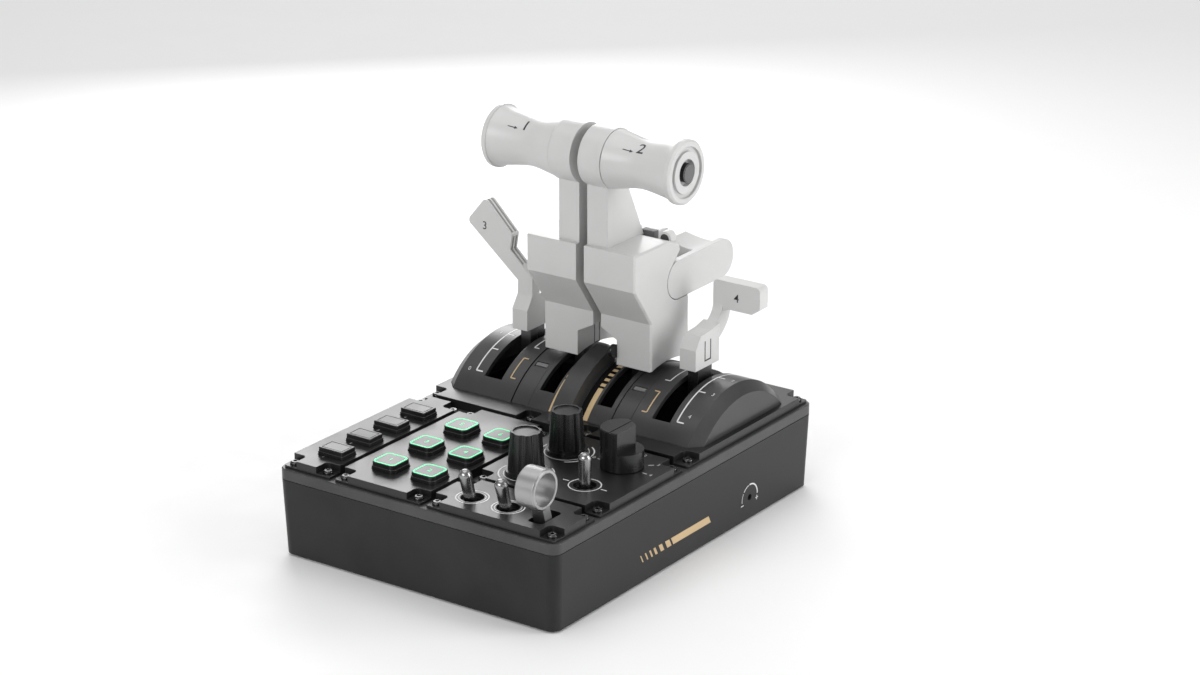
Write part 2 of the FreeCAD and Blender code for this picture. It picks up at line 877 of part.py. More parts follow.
def axle_brackets():
    brackets = []
    for x in (-outer_bracket_x, 0.0, outer_bracket_x):
        x0 = x - bracket_width / 2
        x1 = x + bracket_width / 2
        foot = bracket_depth / 2
        top = bracket_shoulder
        outline = [(axle_y - foot, floor_thickness), (axle_y + foot, floor_thickness),
                   (axle_y + top, axle_z), (axle_y - top, axle_z)]
        block = fuse([prism_x(outline, x0, x1), along_x(top, x0, x1)])
        block = block.common(box(-far, far, -far, far, floor_thickness, far))
        cuts = [along_x(axle_radius + press_clearance, x0, x1)]
        if x > 0:
            cuts.append(along_x(friction_screw_radius + axle_clearance, x0, x1, axle_y,
                                axle_z - friction_screw_drop))
        brackets.append(block.cut(cuts))
    return Part.makeCompound(brackets)


def friction_discs():
    """a friction disc each side of each hub, and the sleeves that space them"""
    half = arm_thickness / 2 + side_play
    rings = []
    for x in axle_stations():
        rings.append((disc_radius, x - half - disc_thickness, x - half))
        rings.append((disc_radius, x + half, x + half + disc_thickness))
    edge = half + disc_thickness
    stops = [(-outer_bracket_x + bracket_width / 2, -outer_lever_x - edge),
             (-outer_lever_x + edge, -throttle_x - edge),
             (-throttle_x + edge, -bracket_width / 2)]
    for x0, x1 in stops:
        rings.append((sleeve_radius, x0, x1))
        rings.append((sleeve_radius, -x1, -x0))
    bore = axle_radius + axle_clearance
    return Part.makeCompound([along_x(r, x0, x1).cut(along_x(bore, x0, x1)) for r, x0, x1 in rings])


def friction_screw():
    """a socket set screw through the right bracket; its tip bears on the discs' sleeve"""
    z = axle_z - friction_screw_drop
    x0 = outer_bracket_x - bracket_width / 2
    body = along_x(friction_screw_radius, x0, friction_screw_end, axle_y, z)
    body = chamfer_at(body, 0.3, lambda e: all_near(e, "x", friction_screw_end))
    mouth = V(friction_screw_end, axle_y, z)
    return body.cut(hexagon(friction_socket_across, mouth, V(-1, 0, 0), friction_socket_depth))


def lever_arm(x, top, clearance=0.0):
    """a steel arm: a bored hub on the axle with a bar that rises into a handle"""
    half = arm_thickness / 2 + clearance
    depth = arm_depth / 2 + clearance
    bar = box(x - half, x + half, axle_y - depth, axle_y + depth, axle_z, top + clearance)
    return bar.fuse(along_x(hub_radius, x - half, x + half)).removeSplitter()


def bored_arm(x, top):
    bore = along_x(axle_radius + axle_clearance, x - arm_thickness, x + arm_thickness)
    return lever_arm(x, top).cut(bore)


# ---------------------------------------------------------------- throttles
def head_block():
    outline = [(head_front, head_top), (head_front, head_chin), (head_waist_y, head_waist_z),
               (head_waist_y, head_foot), (head_rear, head_foot), (head_rear, head_shoulder),
               (head_nape_y, head_nape_z), (head_corner_y, head_corner_z), (head_crown_y, head_top)]
    block = prism_x(outline, head_inner, head_outer)
    block = chamfer_at(block, head_chamfer, lambda e: all_near(e, "x", head_outer))
    step = [(head_inner - 1, head_step_top), (head_inner, head_step_top), (head_step_x, head_step_bottom),
            (head_step_x, 0), (head_inner - 1, 0)]
    under = along_x(drum_radius + head_bottom_gap, 0, head_outer + 1)
    return block.cut([prism_y(step, 0, far), under])


def stem_and_hub():
    x1 = head_inner + stem_width
    outline = [(stem_front, head_top - 1), (stem_rear_low, head_top - 1),
               (stem_rear_high, grip_z - grip_hub_radius), (stem_rear_high, grip_z), (stem_front, grip_z)]
    stem = prism_x(outline, head_inner, x1)
    hub = along_x(grip_hub_radius, head_inner, grip_joint_x, grip_y, grip_z)
    return stem, hub


def reverse_sweep():
    """the room that a reverse lever's side plate takes on its way up"""
    r = reverse_radius + reverse_clearance
    x0 = head_outer - reverse_plate - reverse_clearance
    x1 = head_outer + 1
    y, z = reverse_pivot_y, reverse_pivot_z
    pivot = V(0, y, z)
    disc = along_x(r, x0, x1, y, z)
    band = box(x0, x1, y, y + 60, z - r, z + r)
    raised = turned(band, pivot, X_DIR, reverse_swing)
    half = math.radians(reverse_swing)
    between = prism_x([(y, z), (y + 60, z), (y + 60 * math.cos(half), z + 60 * math.sin(half))], x0, x1)
    return fuse([disc, band, raised, between])


def thumb_box(clearance, z0, z1):
    half = thumb_width / 2 + clearance
    depth = thumb_depth / 2 + clearance
    return box(thumb_x - half, thumb_x + half, thumb_y - depth, thumb_y + depth, z0, z1)


def throttle_head():
    """the right throttle's moulding: head, stem and the hub that its grip joins"""
    stem, hub = stem_and_hub()
    boss = cylinder(boss_radius, V(boss_x, boss_y, head_top - 1), Y_DIR, boss_length)
    head = fuse([head_block(), stem, hub, boss])
    pin_start = head_outer - reverse_skin - side_play - reverse_pin_length
    cuts = [
        reverse_sweep(),
        along_x(reverse_pin_radius + press_clearance, pin_start, head_outer + 1,
                reverse_pivot_y, reverse_pivot_z),
        lever_arm(throttle_x, head_arm_top, socket_clearance),
        along_x(spigot_radius + socket_clearance, grip_joint_x - spigot_length - socket_clearance,
                grip_joint_x + 1, grip_y, grip_z),
        thumb_box(thumb_clearance, thumb_bottom - thumb_travel - thumb_clearance, far),
    ]
    return head.cut(cuts)


def grip():
    """a turned handle, waisted in the middle, with a button bore in its end"""
    x0 = grip_joint_x + grip_joint_gap
    end = grip_end
    back = x0 - grip_joint_gap - spigot_length
    bore_end = end + button_proud - button_length - button_travel - 0.3
    bore = button_radius + button_clearance

    def at(x, r):
        return V(x, grip_y, grip_z + r)

    rim = grip_rim_radius
    waist = Part.BSplineCurve()
    waist.interpolate([at(x0, grip_hub_radius - 0.4), at(x0 + 8, grip_hub_radius - 2.0),
                       at(grip_waist_x, grip_waist_radius), at(grip_waist_x + 11, grip_waist_radius + 1.2),
                       at(end - grip_band - 4, rim - 1.9), at(end - grip_band, rim - 0.5)])
    g0 = end_groove_radius - end_groove_width / 2
    g1 = end_groove_radius + end_groove_width / 2
    line = [at(end - grip_band, rim - 0.5), at(end - grip_band, rim), at(end - 1.2, rim),
            at(end, rim - 1.2),
            at(end, g1),
            at(end - end_groove_depth, g1), at(end - end_groove_depth, g0), at(end, g0),
            at(end, button_recess_radius), at(end - button_recess_depth, button_recess_radius),
            at(end - button_recess_depth, bore), at(bore_end, bore), at(bore_end, 0), at(back, 0),
            at(back, spigot_radius), at(x0, spigot_radius), at(x0, grip_hub_radius - 0.4)]
    edges = [waist.toShape()]
    edges += [Part.LineSegment(a, b).toShape() for a, b in zip(line, line[1:])]
    return Part.Face(Part.Wire(edges)).revolve(at(0, 0), X_DIR, 360)


def end_button():
    x1 = grip_end + button_proud
    button = along_x(button_radius, x1 - button_length, x1, grip_y, grip_z)
    return chamfer_at(button, 0.6, lambda e: all_near(e, "x", x1))


def thumb_switch():
    """a ribbed rocker that is pressed down into the head's back edge"""
    body = thumb_box(0.0, thumb_bottom, thumb_top)
    ribs = int(thumb_width / thumb_rib_pitch)
    start = thumb_x - thumb_width / 2
    grooves = [box(start + thumb_rib_pitch * (i + 0.35), start + thumb_rib_pitch * (i + 0.75),
                   thumb_y - thumb_depth, thumb_y + thumb_depth, thumb_top - 0.5, thumb_top + 1)
               for i in range(ribs)]
    return body.cut(grooves)


def reverse_lever():
    """a side plate on the head's flank and a saddle bar for the fingers"""
    y0, z0 = reverse_pivot_y, reverse_pivot_z
    y1 = y0 + reverse_reach
    x0 = head_outer - reverse_plate
    ends = [along_x(reverse_radius, x0, head_outer, y, z0) for y in (y0, y1)]
    plate = fuse(ends + [box(x0, head_outer, y0, y1, z0 - reverse_radius, z0 + reverse_radius)])
    middle = (reverse_bar_inner + x0) / 2
    top = Part.Arc(V(reverse_bar_inner, 0, reverse_bar_high),
                   V(middle, 0, reverse_bar_high - reverse_bar_dip),
                   V(head_outer, 0, reverse_bar_high)).toShape()
    corners = [V(head_outer, 0, reverse_bar_high), V(head_outer, 0, reverse_bar_low),
               V(reverse_bar_inner, 0, reverse_bar_low), V(reverse_bar_inner, 0, reverse_bar_high)]
    edges = [top] + [Part.LineSegment(a, b).toShape() for a, b in zip(corners, corners[1:])]
    bar = Part.Face(Part.Wire(edges)).extrude(V(0, far, 0))
    bar = bar.common(along_x(reverse_radius, 0, far, y1, z0))
    lever = fuse([plate, bar])
    bore = along_x(reverse_pin_radius + axle_clearance, x0 - 1, head_outer - reverse_skin, y0, z0)
    return lever.cut(bore)


def reverse_pin():
    end = head_outer - reverse_skin - side_play
    return along_x(reverse_pin_radius, end - reverse_pin_length, end, reverse_pivot_y, reverse_pivot_z)


# ---------------------------------------------------------------- handles
def handle_block(x):
    """the block that closes over a lever arm; its front slopes back to the neck"""
    half = block_width / 2
    outline = [(block_front, block_bottom), (block_rear, block_bottom),
               (block_rear, block_top - block_round),
               (block_rear - block_round, block_top), (paddle_front, block_top),
               (block_front, block_shoulder)]
    return prism_x(outline, x - half, x + half)


def paddle_point(x, along, across):
    """a point of the paddle, measured from its root along its lower edge and across it"""
    a = math.radians(paddle_lean)
    root_x = x - block_width / 2 + paddle_root_inset
    return (root_x - along * math.sin(a) + across * math.cos(a),
            paddle_root_z + along * math.cos(a) + across * math.sin(a))


def speed_brake_handle(x):
    """a block with a flat paddle that leans outwards, stepped half way up"""
    half = block_width / 2
    y0 = paddle_front
    y1 = paddle_front + paddle_thickness
    lower_corner = paddle_point(x, paddle_length, 0.0)
    tip = paddle_point(x, paddle_length, paddle_breadth)
    step_top = paddle_point(x, paddle_step_top, paddle_step_breadth)
    step_foot = paddle_point(x, paddle_step_foot, paddle_neck_breadth)
    elbow = paddle_point(x, 0.0, paddle_neck_breadth - 1.0)
    outline = [paddle_point(x, 0.0, 0.0), lower_corner, tip, step_top, step_foot, elbow,
               (x + half, elbow[1] - 4.0), (x + half, block_top - 2.0), (x - half, block_top - 2.0)]
    paddle = prism_y(outline, y0, y1)
    for corner_x, corner_z in (lower_corner, tip):
        paddle = fillet_at(paddle, paddle_round,
                           lambda e: all_near(e, "x", corner_x) and all_near(e, "z", corner_z))
    handle = fuse([handle_block(x), paddle])
    rib = (paddle_thickness - 2 * groove_width) / 3
    cuts = [lever_arm(x, block_arm_top, socket_clearance)]
    d = groove_depth
    bridge = groove_bridge
    upper = [(paddle_length - 1.5, paddle_breadth + d),
             (paddle_step_top + bridge, paddle_step_breadth + d),
             (paddle_step_top + bridge, paddle_step_breadth - d),
             (paddle_length - 1.5, paddle_breadth - d)]
    lower = [(paddle_step_top - 2 * d, paddle_step_breadth + d),
             (paddle_step_foot - 2 * d, paddle_neck_breadth + d),
             (groove_end, paddle_neck_breadth + d),
             (groove_end, paddle_neck_breadth - d),
             (paddle_step_foot + d / 2, paddle_neck_breadth - d), (paddle_step_top, paddle_step_breadth - d)]
    for path in (upper, lower):
        groove = [paddle_point(x, along, across) for along, across in path]
        for y in (y0 + rib, y0 + 2 * rib + groove_width):
            cuts.append(prism_y(groove, y, y + groove_width))
    return handle.cut(cuts)


def flaps_handle(x):
    """a block whose top sweeps back and up into an arm with a flat plate"""
    half = block_width / 2
    left = x - half + flap_arm_inset
    right = left + flap_plate_width
    y0 = flap_arm_front
    y1 = flap_arm_front + flap_arm_depth
    neck_z = flap_neck_z
    upper = [(paddle_front, block_top), (paddle_front + 11, block_top + 0.8), (block_rear, neck_z - 2.2),
             (y0 - 1.7, neck_z + 1.8), (y0, neck_z + 7)]
    lower = [(y1, neck_z + 4), (y1 - 1.6, neck_z - 2), (y1 - 6, neck_z - 8),
             (block_rear - 0.5, block_top - 9)]
    side = [(block_rear - 0.5, block_top - 9), (paddle_front, block_top - 9), (paddle_front, block_top)]
    arm = curved_prism_x(upper, [(y0, flap_plate_high), (y1, flap_plate_high)], lower, side,
                         left, left + flap_arm_width)
    cut = flap_plate_corner
    outline = [(left, flap_plate_low), (right - cut, flap_plate_low), (right, flap_plate_low + cut * 0.7),
               (right, flap_plate_high), (left, flap_plate_high)]
    plate = prism_y(outline, y0, y1)
    brace = prism_y([(left, flap_plate_low - 5), (left + flap_arm_width + 6, flap_plate_low + 1),
                     (left, flap_plate_low + 1)], y0, y1)
    shoulder = prism_x([(paddle_front, block_top - 3), (paddle_front, block_top),
                        (paddle_front + 11, block_top + 0.8), (block_rear, neck_z - 2.2),
                        (block_rear, block_top - 3)], x - half, x + half)
    handle = fuse([handle_block(x), shoulder, arm, brace, plate])
    for corner_x in (left, right):
        handle = fillet_at(handle, flap_plate_round,
                           lambda e: all_near(e, "x", corner_x) and all_near(e, "z", flap_plate_high))
    return handle.cut(lever_arm(x, block_arm_top, socket_clearance))


# ---------------------------------------------------------------- controls
def key_cap(x, y, width, depth, corner):
    """a key with a wider skirt, hollow underneath for its switch"""
    top = panel_top + key_proud
    bottom = deck_top + key_travel + 0.3
    skirt_top = panel_top + key_proud * 0.45
    skirt = centred_box(x, y, width + 2 * key_skirt, depth + 2 * key_skirt, bottom, skirt_top, corner)
    cap = centred_box(x, y, width, depth, bottom, top, corner)
    cap = chamfer_at(cap, 0.35, lambda e: all_near(e, "z", top))
    pocket = centred_box(x, y, width - 2 * key_pocket_wall, depth - 2 * key_pocket_wall, bottom,
                         top - key_pocket_roof, 0.5)
    return fuse([skirt, cap]).cut(pocket)


def rectangular_key(x, y):
    key = key_cap(x, y, key_width, key_depth, key_corner)
    top = panel_top + key_proud
    width = key_width - key_mark_inset
    depth = key_depth - key_mark_inset
    line = 2 * key_mark_width
    z0 = top - key_mark_depth
    outer = centred_box(x, y, width, depth, z0, top + line, key_mark_width)
    inner = centred_box(x, y, width - line, depth - line, z0, top + line, key_mark_width / 2)
    return key.cut(outer.cut(inner))


def mode_key(x, y):
    return key_cap(x, y, mode_size, mode_size, mode_corner)


def toggle_bat(x, y, lean_axis, lean):
    """a bat that grows towards its rounded tip, on a ball in its bushing"""
    pivot = V(x, y, toggle_pivot_z)
    ball = Part.makeSphere(toggle_ball, pivot)
    shaft_length = toggle_length - toggle_tip_radius
    shaft = Part.makeCone(toggle_base_radius, toggle_tip_radius, shaft_length, pivot)
    tip = Part.makeSphere(toggle_tip_radius, pivot + V(0, 0, shaft_length))
    return turned(fuse([ball, shaft, tip]), pivot, lean_axis, lean)


def toggle_bats():
    bats = []
    for i, (x, y) in enumerate(toggle_places):
        lean = toggle_lean if i < 2 else 0.0
        bats.append(toggle_bat(x, y, X_DIR, lean))
    return bats


def toggle_bushings():
    """threaded bushings, each with a hexagon nut under its panel"""
    rings = []
    for x, y in toggle_places:
        bottom = V(x, y, bushing_bottom)
        ring = cylinder(bushing_radius, bottom, Z_DIR, bushing_top - bushing_bottom)
        nut = hexagon(2 * bushing_radius + 2.4, V(x, y, deck_top - 2.4), Z_DIR, 2.3)
        bore = cylinder(bushing_bore, bottom, Z_DIR, far)
        rings.append(fuse([ring, nut]).cut(bore))
    return Part.makeCompound(rings)


def gear_lever():
    """a wheel-shaped handle on a flat stem, leaning towards the pilot"""
    pivot = V(gear_x, gear_y, gear_pivot_z)
    half = gear_stem_width / 2
    stem = box(gear_x - half, gear_x + half, gear_y - gear_stem_depth / 2, gear_y + gear_stem_depth / 2,
               gear_pivot_z, gear_pivot_z + gear_reach - gear_ring_bore - 1)
    barrel = along_x(gear_barrel_radius, gear_x - half, gear_x + half, gear_y, gear_pivot_z)
    ring_z = gear_pivot_z + gear_reach
    ring_x0 = gear_x - gear_ring_width / 2
    ring_x1 = gear_x + gear_ring_width / 2
    ring = along_x(gear_ring_radius, ring_x0, ring_x1, gear_y, ring_z)
    ring = chamfer_at(ring, 0.8, lambda e: all_near(e, "x", ring_x0) or all_near(e, "x", ring_x1))
    lever = fuse([stem, barrel, ring])
    cuts = [along_x(gear_ring_bore, ring_x0, ring_x1, gear_y, ring_z),
            along_x(gear_pin_radius + axle_clearance, ring_x0, ring_x1, gear_y, gear_pivot_z)]
    return turned(lever.cut(cuts), pivot, X_DIR, toggle_lean)


def encoder_knob(y):
    """a fluted, tapered knob with a flange and a dished top, and its shaft"""
    z0 = panel_top + control_gap
    flange = cylinder(knob_flange_radius, V(knob_x, y, z0), Z_DIR, knob_flange_height)
    body_z = z0 + knob_flange_height
    body_height = knob_height - knob_flange_height
    body = Part.makeCone(knob_foot_radius, knob_top_radius, body_height, V(knob_x, y, body_z))
    flutes = []
    slope = math.degrees(math.atan((knob_foot_radius - knob_top_radius) / body_height))
    flute_x = knob_x + knob_foot_radius + knob_flute_radius - knob_flute_bite
    for i in range(knob_flutes):
        flute = cylinder(knob_flute_radius, V(flute_x, y, body_z + knob_flute_start), Z_DIR, body_height)
        flute = turned(flute, V(knob_x + knob_foot_radius, y, body_z), Y_DIR, -slope)
        flutes.append(turned(flute, V(knob_x, y, 0), Z_DIR, 360.0 / knob_flutes * (i + 0.5)))
    body = body.cut(flutes)
    dish_start = V(knob_x, y, z0 + knob_height - knob_dish_depth)
    dish = cylinder(knob_top_radius - knob_rim, dish_start, Z_DIR, far)
    return fuse([flange, body, knob_shaft(knob_x, y)]).cut(dish)


def knob_shaft(x, y):
    bottom = deck_top - encoder_depth + shaft_end_gap
    return cylinder(shaft_radius, V(x, y, bottom), Z_DIR, panel_top + 2 * control_gap - bottom)


def selector_knob():
    """a round skirt with a tall bar cut flat on its right-hand side"""
    z0 = panel_top + control_gap
    body = cylinder(selector_radius, V(selector_x, selector_y, z0), Z_DIR, selector_height)
    body = chamfer_at(body, 0.5, lambda e: all_near(e, "z", z0 + selector_height))
    flat_x = selector_x + selector_flat
    skirt_top = z0 + selector_skirt_height
    back = box(0, far, -far, far, skirt_top, far)
    back = turned(back, V(0, 0, 0), Z_DIR, selector_back_angle)
    back.translate(V(flat_x, selector_y + selector_back, 0))
    cuts = [box(flat_x, far, -far, far, skirt_top, far), back,
            box(selector_x - selector_line_width / 2, selector_x + selector_line_width / 2, -far,
                selector_y + selector_line_reach, z0 + selector_height - selector_line_depth, far)]
    return fuse([body, knob_shaft(selector_x, selector_y)]).cut(cuts)


# ---------------------------------------------------------------- inside
def switch_bodies():
    """what hangs under the panels: encoders, toggle cases, the gear lever's
    bearing, and the small push switches under the keys"""
    bodies = []
    for x, y in [(knob_x, ky) for ky in knob_y] + [(selector_x, selector_y)]:
        case = centred_box(x, y, encoder_size, encoder_size, deck_top - encoder_depth, deck_top, 1.0)
        bodies.append(case.cut(cylinder(shaft_radius + shaft_clearance, V(x, y, 0), Z_DIR, far)))
    for x, y in toggle_places:
        bodies.append(centred_box(x, y, toggle_body_size, toggle_body_size,
                                  bushing_bottom - toggle_body_depth, bushing_bottom, 1.0))
    bodies.append(gear_bearing())
    for x, y in key_places() + mode_places():
        base = centred_box(x, y, tact_size, tact_size, deck_top, deck_top + tact_height, 0.5)
        key_roof = panel_top + key_proud - key_pocket_roof
        plunger = cylinder(tact_plunger_radius, V(x, y, deck_top), Z_DIR,
                           key_roof - key_travel - 0.2 - deck_top)
        bodies.append(fuse([base, plunger]))
    return Part.makeCompound(bodies)


def gear_bearing():
    inner = gear_stem_width / 2 + gear_cheek_gap
    outer = inner + gear_cheek
    half = gear_barrel_radius + gear_cheek_gap * 3
    cheeks = [box(x0, x1, gear_y - half, gear_y + half, gear_pivot_z - half, deck_top)
              for x0, x1 in ((gear_x - outer, gear_x - inner), (gear_x + inner, gear_x + outer))]
    bridge = box(gear_x - outer, gear_x + outer, gear_y - half, gear_y + half,
                 gear_pivot_z - half - gear_cheek, gear_pivot_z - half)
    pin = along_x(gear_pin_radius, gear_x - outer, gear_x + outer, gear_y, gear_pivot_z)
    return fuse(cheeks + [bridge, pin])


def control_board():
    z0 = floor_thickness + standoff_height
    z1 = z0 + board_thickness
    half_x = board_x / 2
    half_y = board_y / 2
    board = rounded_box(-half_x, half_x, board_centre_y - half_y, board_centre_y + half_y, z0, z1, 2.0)
    chip = chip_size / 2
    parts = [box(-chip, chip, board_centre_y - chip, board_centre_y + chip, z1, z1 + chip_height)]
    plug_y1 = board_centre_y + half_y - board_plug_gap
    for i in range(board_plugs):
        x = board_plug_pitch * (i - (board_plugs - 1) / 2)
        parts.append(box(x - board_plug_width / 2, x + board_plug_width / 2, plug_y1 - board_plug_depth,
                         plug_y1, z1, z1 + board_plug_depth))
    return fuse([board] + parts)


def usb_socket():
    """a small oval-mouthed data and power socket in the back wall"""
    depth_out = body_depth / 2 - tub_draft * (1 - usb_z / tub_height) - usb_recess
    y0 = depth_out - usb_length
    w = usb_width / 2
    h = usb_height / 2
    shell = box(usb_x - w, usb_x + w, y0, depth_out, usb_z - h, usb_z + h)
    round_edges = [e for e in shell.Edges if abs(e.Vertexes[0].Point.y - e.Vertexes[1].Point.y) > 1]
    shell = shell.makeFillet(h * 0.8, round_edges)
    t = usb_shell
    mouth = box(usb_x - w + t, usb_x + w - t, y0 + usb_tongue_margin, depth_out + t, usb_z - h + t,
                usb_z + h - t)
    mouth_edges = [e for e in mouth.Edges if abs(e.Vertexes[0].Point.y - e.Vertexes[1].Point.y) > 1]
    mouth = mouth.makeFillet((h - t) * 0.8, mouth_edges)
    m = usb_tongue_margin
    tongue = box(usb_x - w + m, usb_x + w - m, y0 + m / 2, depth_out - m / 2,
                 usb_z - usb_tongue / 2, usb_z + usb_tongue / 2)
    stand = box(usb_x - w, usb_x + w, y0, y0 + usb_length - 2.5 * wall, floor_thickness, usb_z - h)
    return fuse([shell.cut(mouth), tongue, stand])


def angle_sensors():
    """one small sensor board beside each hub, standing on the bottom plate"""
    half = arm_thickness / 2 + side_play + disc_thickness + sensor_gap
    boards = []
    for x in axle_stations():
        inward = -1 if x > 0 else 1
        x0 = x + inward * half
        x1 = x0 + inward * sensor_thickness
        boards.append(box(min(x0, x1), max(x0, x1), axle_y - sensor_width / 2, axle_y + sensor_width / 2,
                          floor_thickness, axle_z - sleeve_radius - sensor_gap / 5))
    return Part.makeCompound(boards)


# ---------------------------------------------------------------- build
def build():
    os.makedirs("parts", exist_ok=True)
    save("base_tub", base_tub())
    save("rim_frame", rim_frame())
    save("bottom_plate", bottom_plate())
    save("rubber_feet", rubber_feet())
    save("cover_screws", cover_screws())
    save("left_key_panel", left_key_panel())
    save("mode_key_panel", mode_key_panel())
    save("toggle_panel", toggle_panel())
    save("knob_panel", knob_panel())
    save("quadrant_panel", quadrant_panel())
    for name, cover in arc_covers().items():
        save(name, cover)
    save("window_strip_left", window_strip(-1))
    save("window_strip_right", window_strip(1))
    save("centre_rib", centre_rib())
    save("main_axle", main_axle())
    save("axle_brackets", axle_brackets())
    save("friction_discs", friction_discs())
    save("friction_screw", friction_screw())
    save("speed_brake_arm", bored_arm(-outer_lever_x, block_arm_top))
    save("flaps_arm", bored_arm(outer_lever_x, block_arm_top))
    save("speed_brake_handle", speed_brake_handle(-outer_lever_x))
    save("flaps_handle", flaps_handle(outer_lever_x))
    right_pieces = {
        "throttle_arm": bored_arm(throttle_x, head_arm_top),
        "throttle_head": throttle_head(),
        "grip": grip(),
        "end_button": end_button(),
        "thumb_switch": thumb_switch(),
        "reverse_lever": reverse_lever(),
        "reverse_pin": reverse_pin(),
    }
    for name, shape in right_pieces.items():
        save(name + "_1", mirrored(shape))
        save(name + "_2", shape)
    for i, (x, y) in enumerate(key_places()):
        save("rectangular_key_%d" % (i + 1), rectangular_key(x, y))
    for i, (x, y) in enumerate(mode_places()):
        save("mode_key_%d" % (i + 1), mode_key(x, y))
    for i, bat in enumerate(toggle_bats()):
        save("toggle_bat_%d" % (i + 1), bat)
    save("toggle_bushings", toggle_bushings())
    save("gear_lever", gear_lever())
    for i, y in enumerate(knob_y):
        save("encoder_knob_%d" % (i + 1), encoder_knob(y))
    save("selector_knob", selector_knob())
    save("switch_bodies", switch_bodies())
    save("control_board", control_board())
    save("usb_socket", usb_socket())
    save("angle_sensors", angle_sensors())


build()
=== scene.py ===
import math

import bmesh
import bpy
from mathutils import Matrix, Vector
from mathutils.bvhtree import BVHTree


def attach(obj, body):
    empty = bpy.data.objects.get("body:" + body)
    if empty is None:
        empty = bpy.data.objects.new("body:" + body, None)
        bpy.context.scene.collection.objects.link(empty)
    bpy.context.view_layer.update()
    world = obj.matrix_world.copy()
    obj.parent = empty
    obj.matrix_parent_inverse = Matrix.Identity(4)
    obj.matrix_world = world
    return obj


mm = 0.001
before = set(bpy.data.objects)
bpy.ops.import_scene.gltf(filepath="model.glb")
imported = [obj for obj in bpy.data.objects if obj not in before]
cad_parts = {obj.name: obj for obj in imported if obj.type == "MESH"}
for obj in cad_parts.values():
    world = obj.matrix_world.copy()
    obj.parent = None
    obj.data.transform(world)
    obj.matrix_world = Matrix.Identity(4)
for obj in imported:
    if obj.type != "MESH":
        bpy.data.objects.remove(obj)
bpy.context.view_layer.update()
print("frame loaded:", len(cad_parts), "nodes")

# what a user may want to change, piece by piece; lengths in millimetres
housing = {"colour": (0.013, 0.013, 0.0135), "light": (0.05, 0.05, 0.051), "grain": 900.0}
rim = {"colour": (0.032, 0.032, 0.033), "light": (0.14, 0.14, 0.142), "grain": 1100.0}
panels = {"colour": (0.009, 0.009, 0.0095), "light": (0.035, 0.035, 0.036), "top": 56.5}
drum = {"colour": (0.034, 0.034, 0.0345), "light": (0.09, 0.09, 0.092), "axisY": 62.5,
        "axisZ": 20.0, "radius": 60.0}
handles = {"colour": (0.56, 0.56, 0.555), "light": (0.74, 0.74, 0.73)}
# cap makes the key tops lighter than their sides: a painted highlight for the light the tops reflect; on
# the sides it is the wear colour
keys = {"top": 61.0, "side": (0.008, 0.008, 0.0085), "cap": (0.05, 0.05, 0.051),
        "lamp": (0.02, 0.87, 0.30), "glow": 0.55}
wall = {"x": 95.0, "lean": 1.5, "height": 44.6}
inks = {"white": (0.80, 0.80, 0.79), "gold": (0.60, 0.44, 0.24), "dark": (0.03, 0.03, 0.031)}
print("settings read")


# shader groups: outputs are masks, heights and normals only
def newGroup(name, inputs, outputs):
    tree = bpy.data.node_groups.new(name, "ShaderNodeTree")
    for label, kind, value in inputs:
        socket = tree.interface.new_socket(label, in_out="INPUT", socket_type=kind)
        if value is not None:
            socket.default_value = value
    for label, kind in outputs:
        tree.interface.new_socket(label, in_out="OUTPUT", socket_type=kind)
    return tree, tree.nodes.new("NodeGroupInput"), tree.nodes.new("NodeGroupOutput")


def addNode(tree, kind, **settings):
    node = tree.nodes.new(kind)
    for key, value in settings.items():
        setattr(node, key, value)
    return node


def ramp(tree, source, low, high, toLow=0.0, toHigh=1.0):
    node = addNode(tree, "ShaderNodeMapRange", clamp=True)
    node.inputs["From Min"].default_value = low
    node.inputs["From Max"].default_value = high
    node.inputs["To Min"].default_value = toLow
    node.inputs["To Max"].default_value = toHigh
    tree.links.new(source, node.inputs["Value"])
    return node.outputs["Result"]


def combine(tree, operation, first, second):
    node = addNode(tree, "ShaderNodeMath", operation=operation)
    for i, value in enumerate((first, second)):
        if isinstance(value, (int, float)):
            node.inputs[i].default_value = value
        else:
            tree.links.new(value, node.inputs[i])
    return node.outputs[0]


edgeLook = {"radius": 0.0005, "breakup": 300.0, "samples": 4, "flat": 0.995, "sharp": 0.90,
            "detail": 4.0, "brokenFrom": 0.35, "brokenTo": 0.62}


def makeEdgeGroup():
    # rounded corners for the light to catch, and a broken mask of where they are
    inputs = [("Vector", "NodeSocketVector", None), ("Radius", "NodeSocketFloat", edgeLook["radius"]),
              ("Breakup", "NodeSocketFloat", edgeLook["breakup"])]
    outputs = [("Normal", "NodeSocketVector"), ("Edge", "NodeSocketFloat")]
    tree, gin, gout = newGroup("soft edges", inputs, outputs)
    bevel = addNode(tree, "ShaderNodeBevel", samples=edgeLook["samples"])
    tree.links.new(gin.outputs["Radius"], bevel.inputs["Radius"])
    geometry = addNode(tree, "ShaderNodeNewGeometry")
    dot = addNode(tree, "ShaderNodeVectorMath", operation="DOT_PRODUCT")
    tree.links.new(bevel.outputs["Normal"], dot.inputs[0])
    tree.links.new(geometry.outputs["Normal"], dot.inputs[1])
    edge = ramp(tree, dot.outputs["Value"], edgeLook["flat"], edgeLook["sharp"])
    noise = addNode(tree, "ShaderNodeTexNoise")
    noise.inputs["Detail"].default_value = edgeLook["detail"]
    tree.links.new(gin.outputs["Vector"], noise.inputs["Vector"])
    tree.links.new(gin.outputs["Breakup"], noise.inputs["Scale"])
    patches = ramp(tree, noise.outputs["Fac"], edgeLook["brokenFrom"], edgeLook["brokenTo"])
    broken = combine(tree, "MULTIPLY", edge, patches)
    tree.links.new(bevel.outputs["Normal"], gout.inputs["Normal"])
    tree.links.new(broken, gout.inputs["Edge"])
    return tree


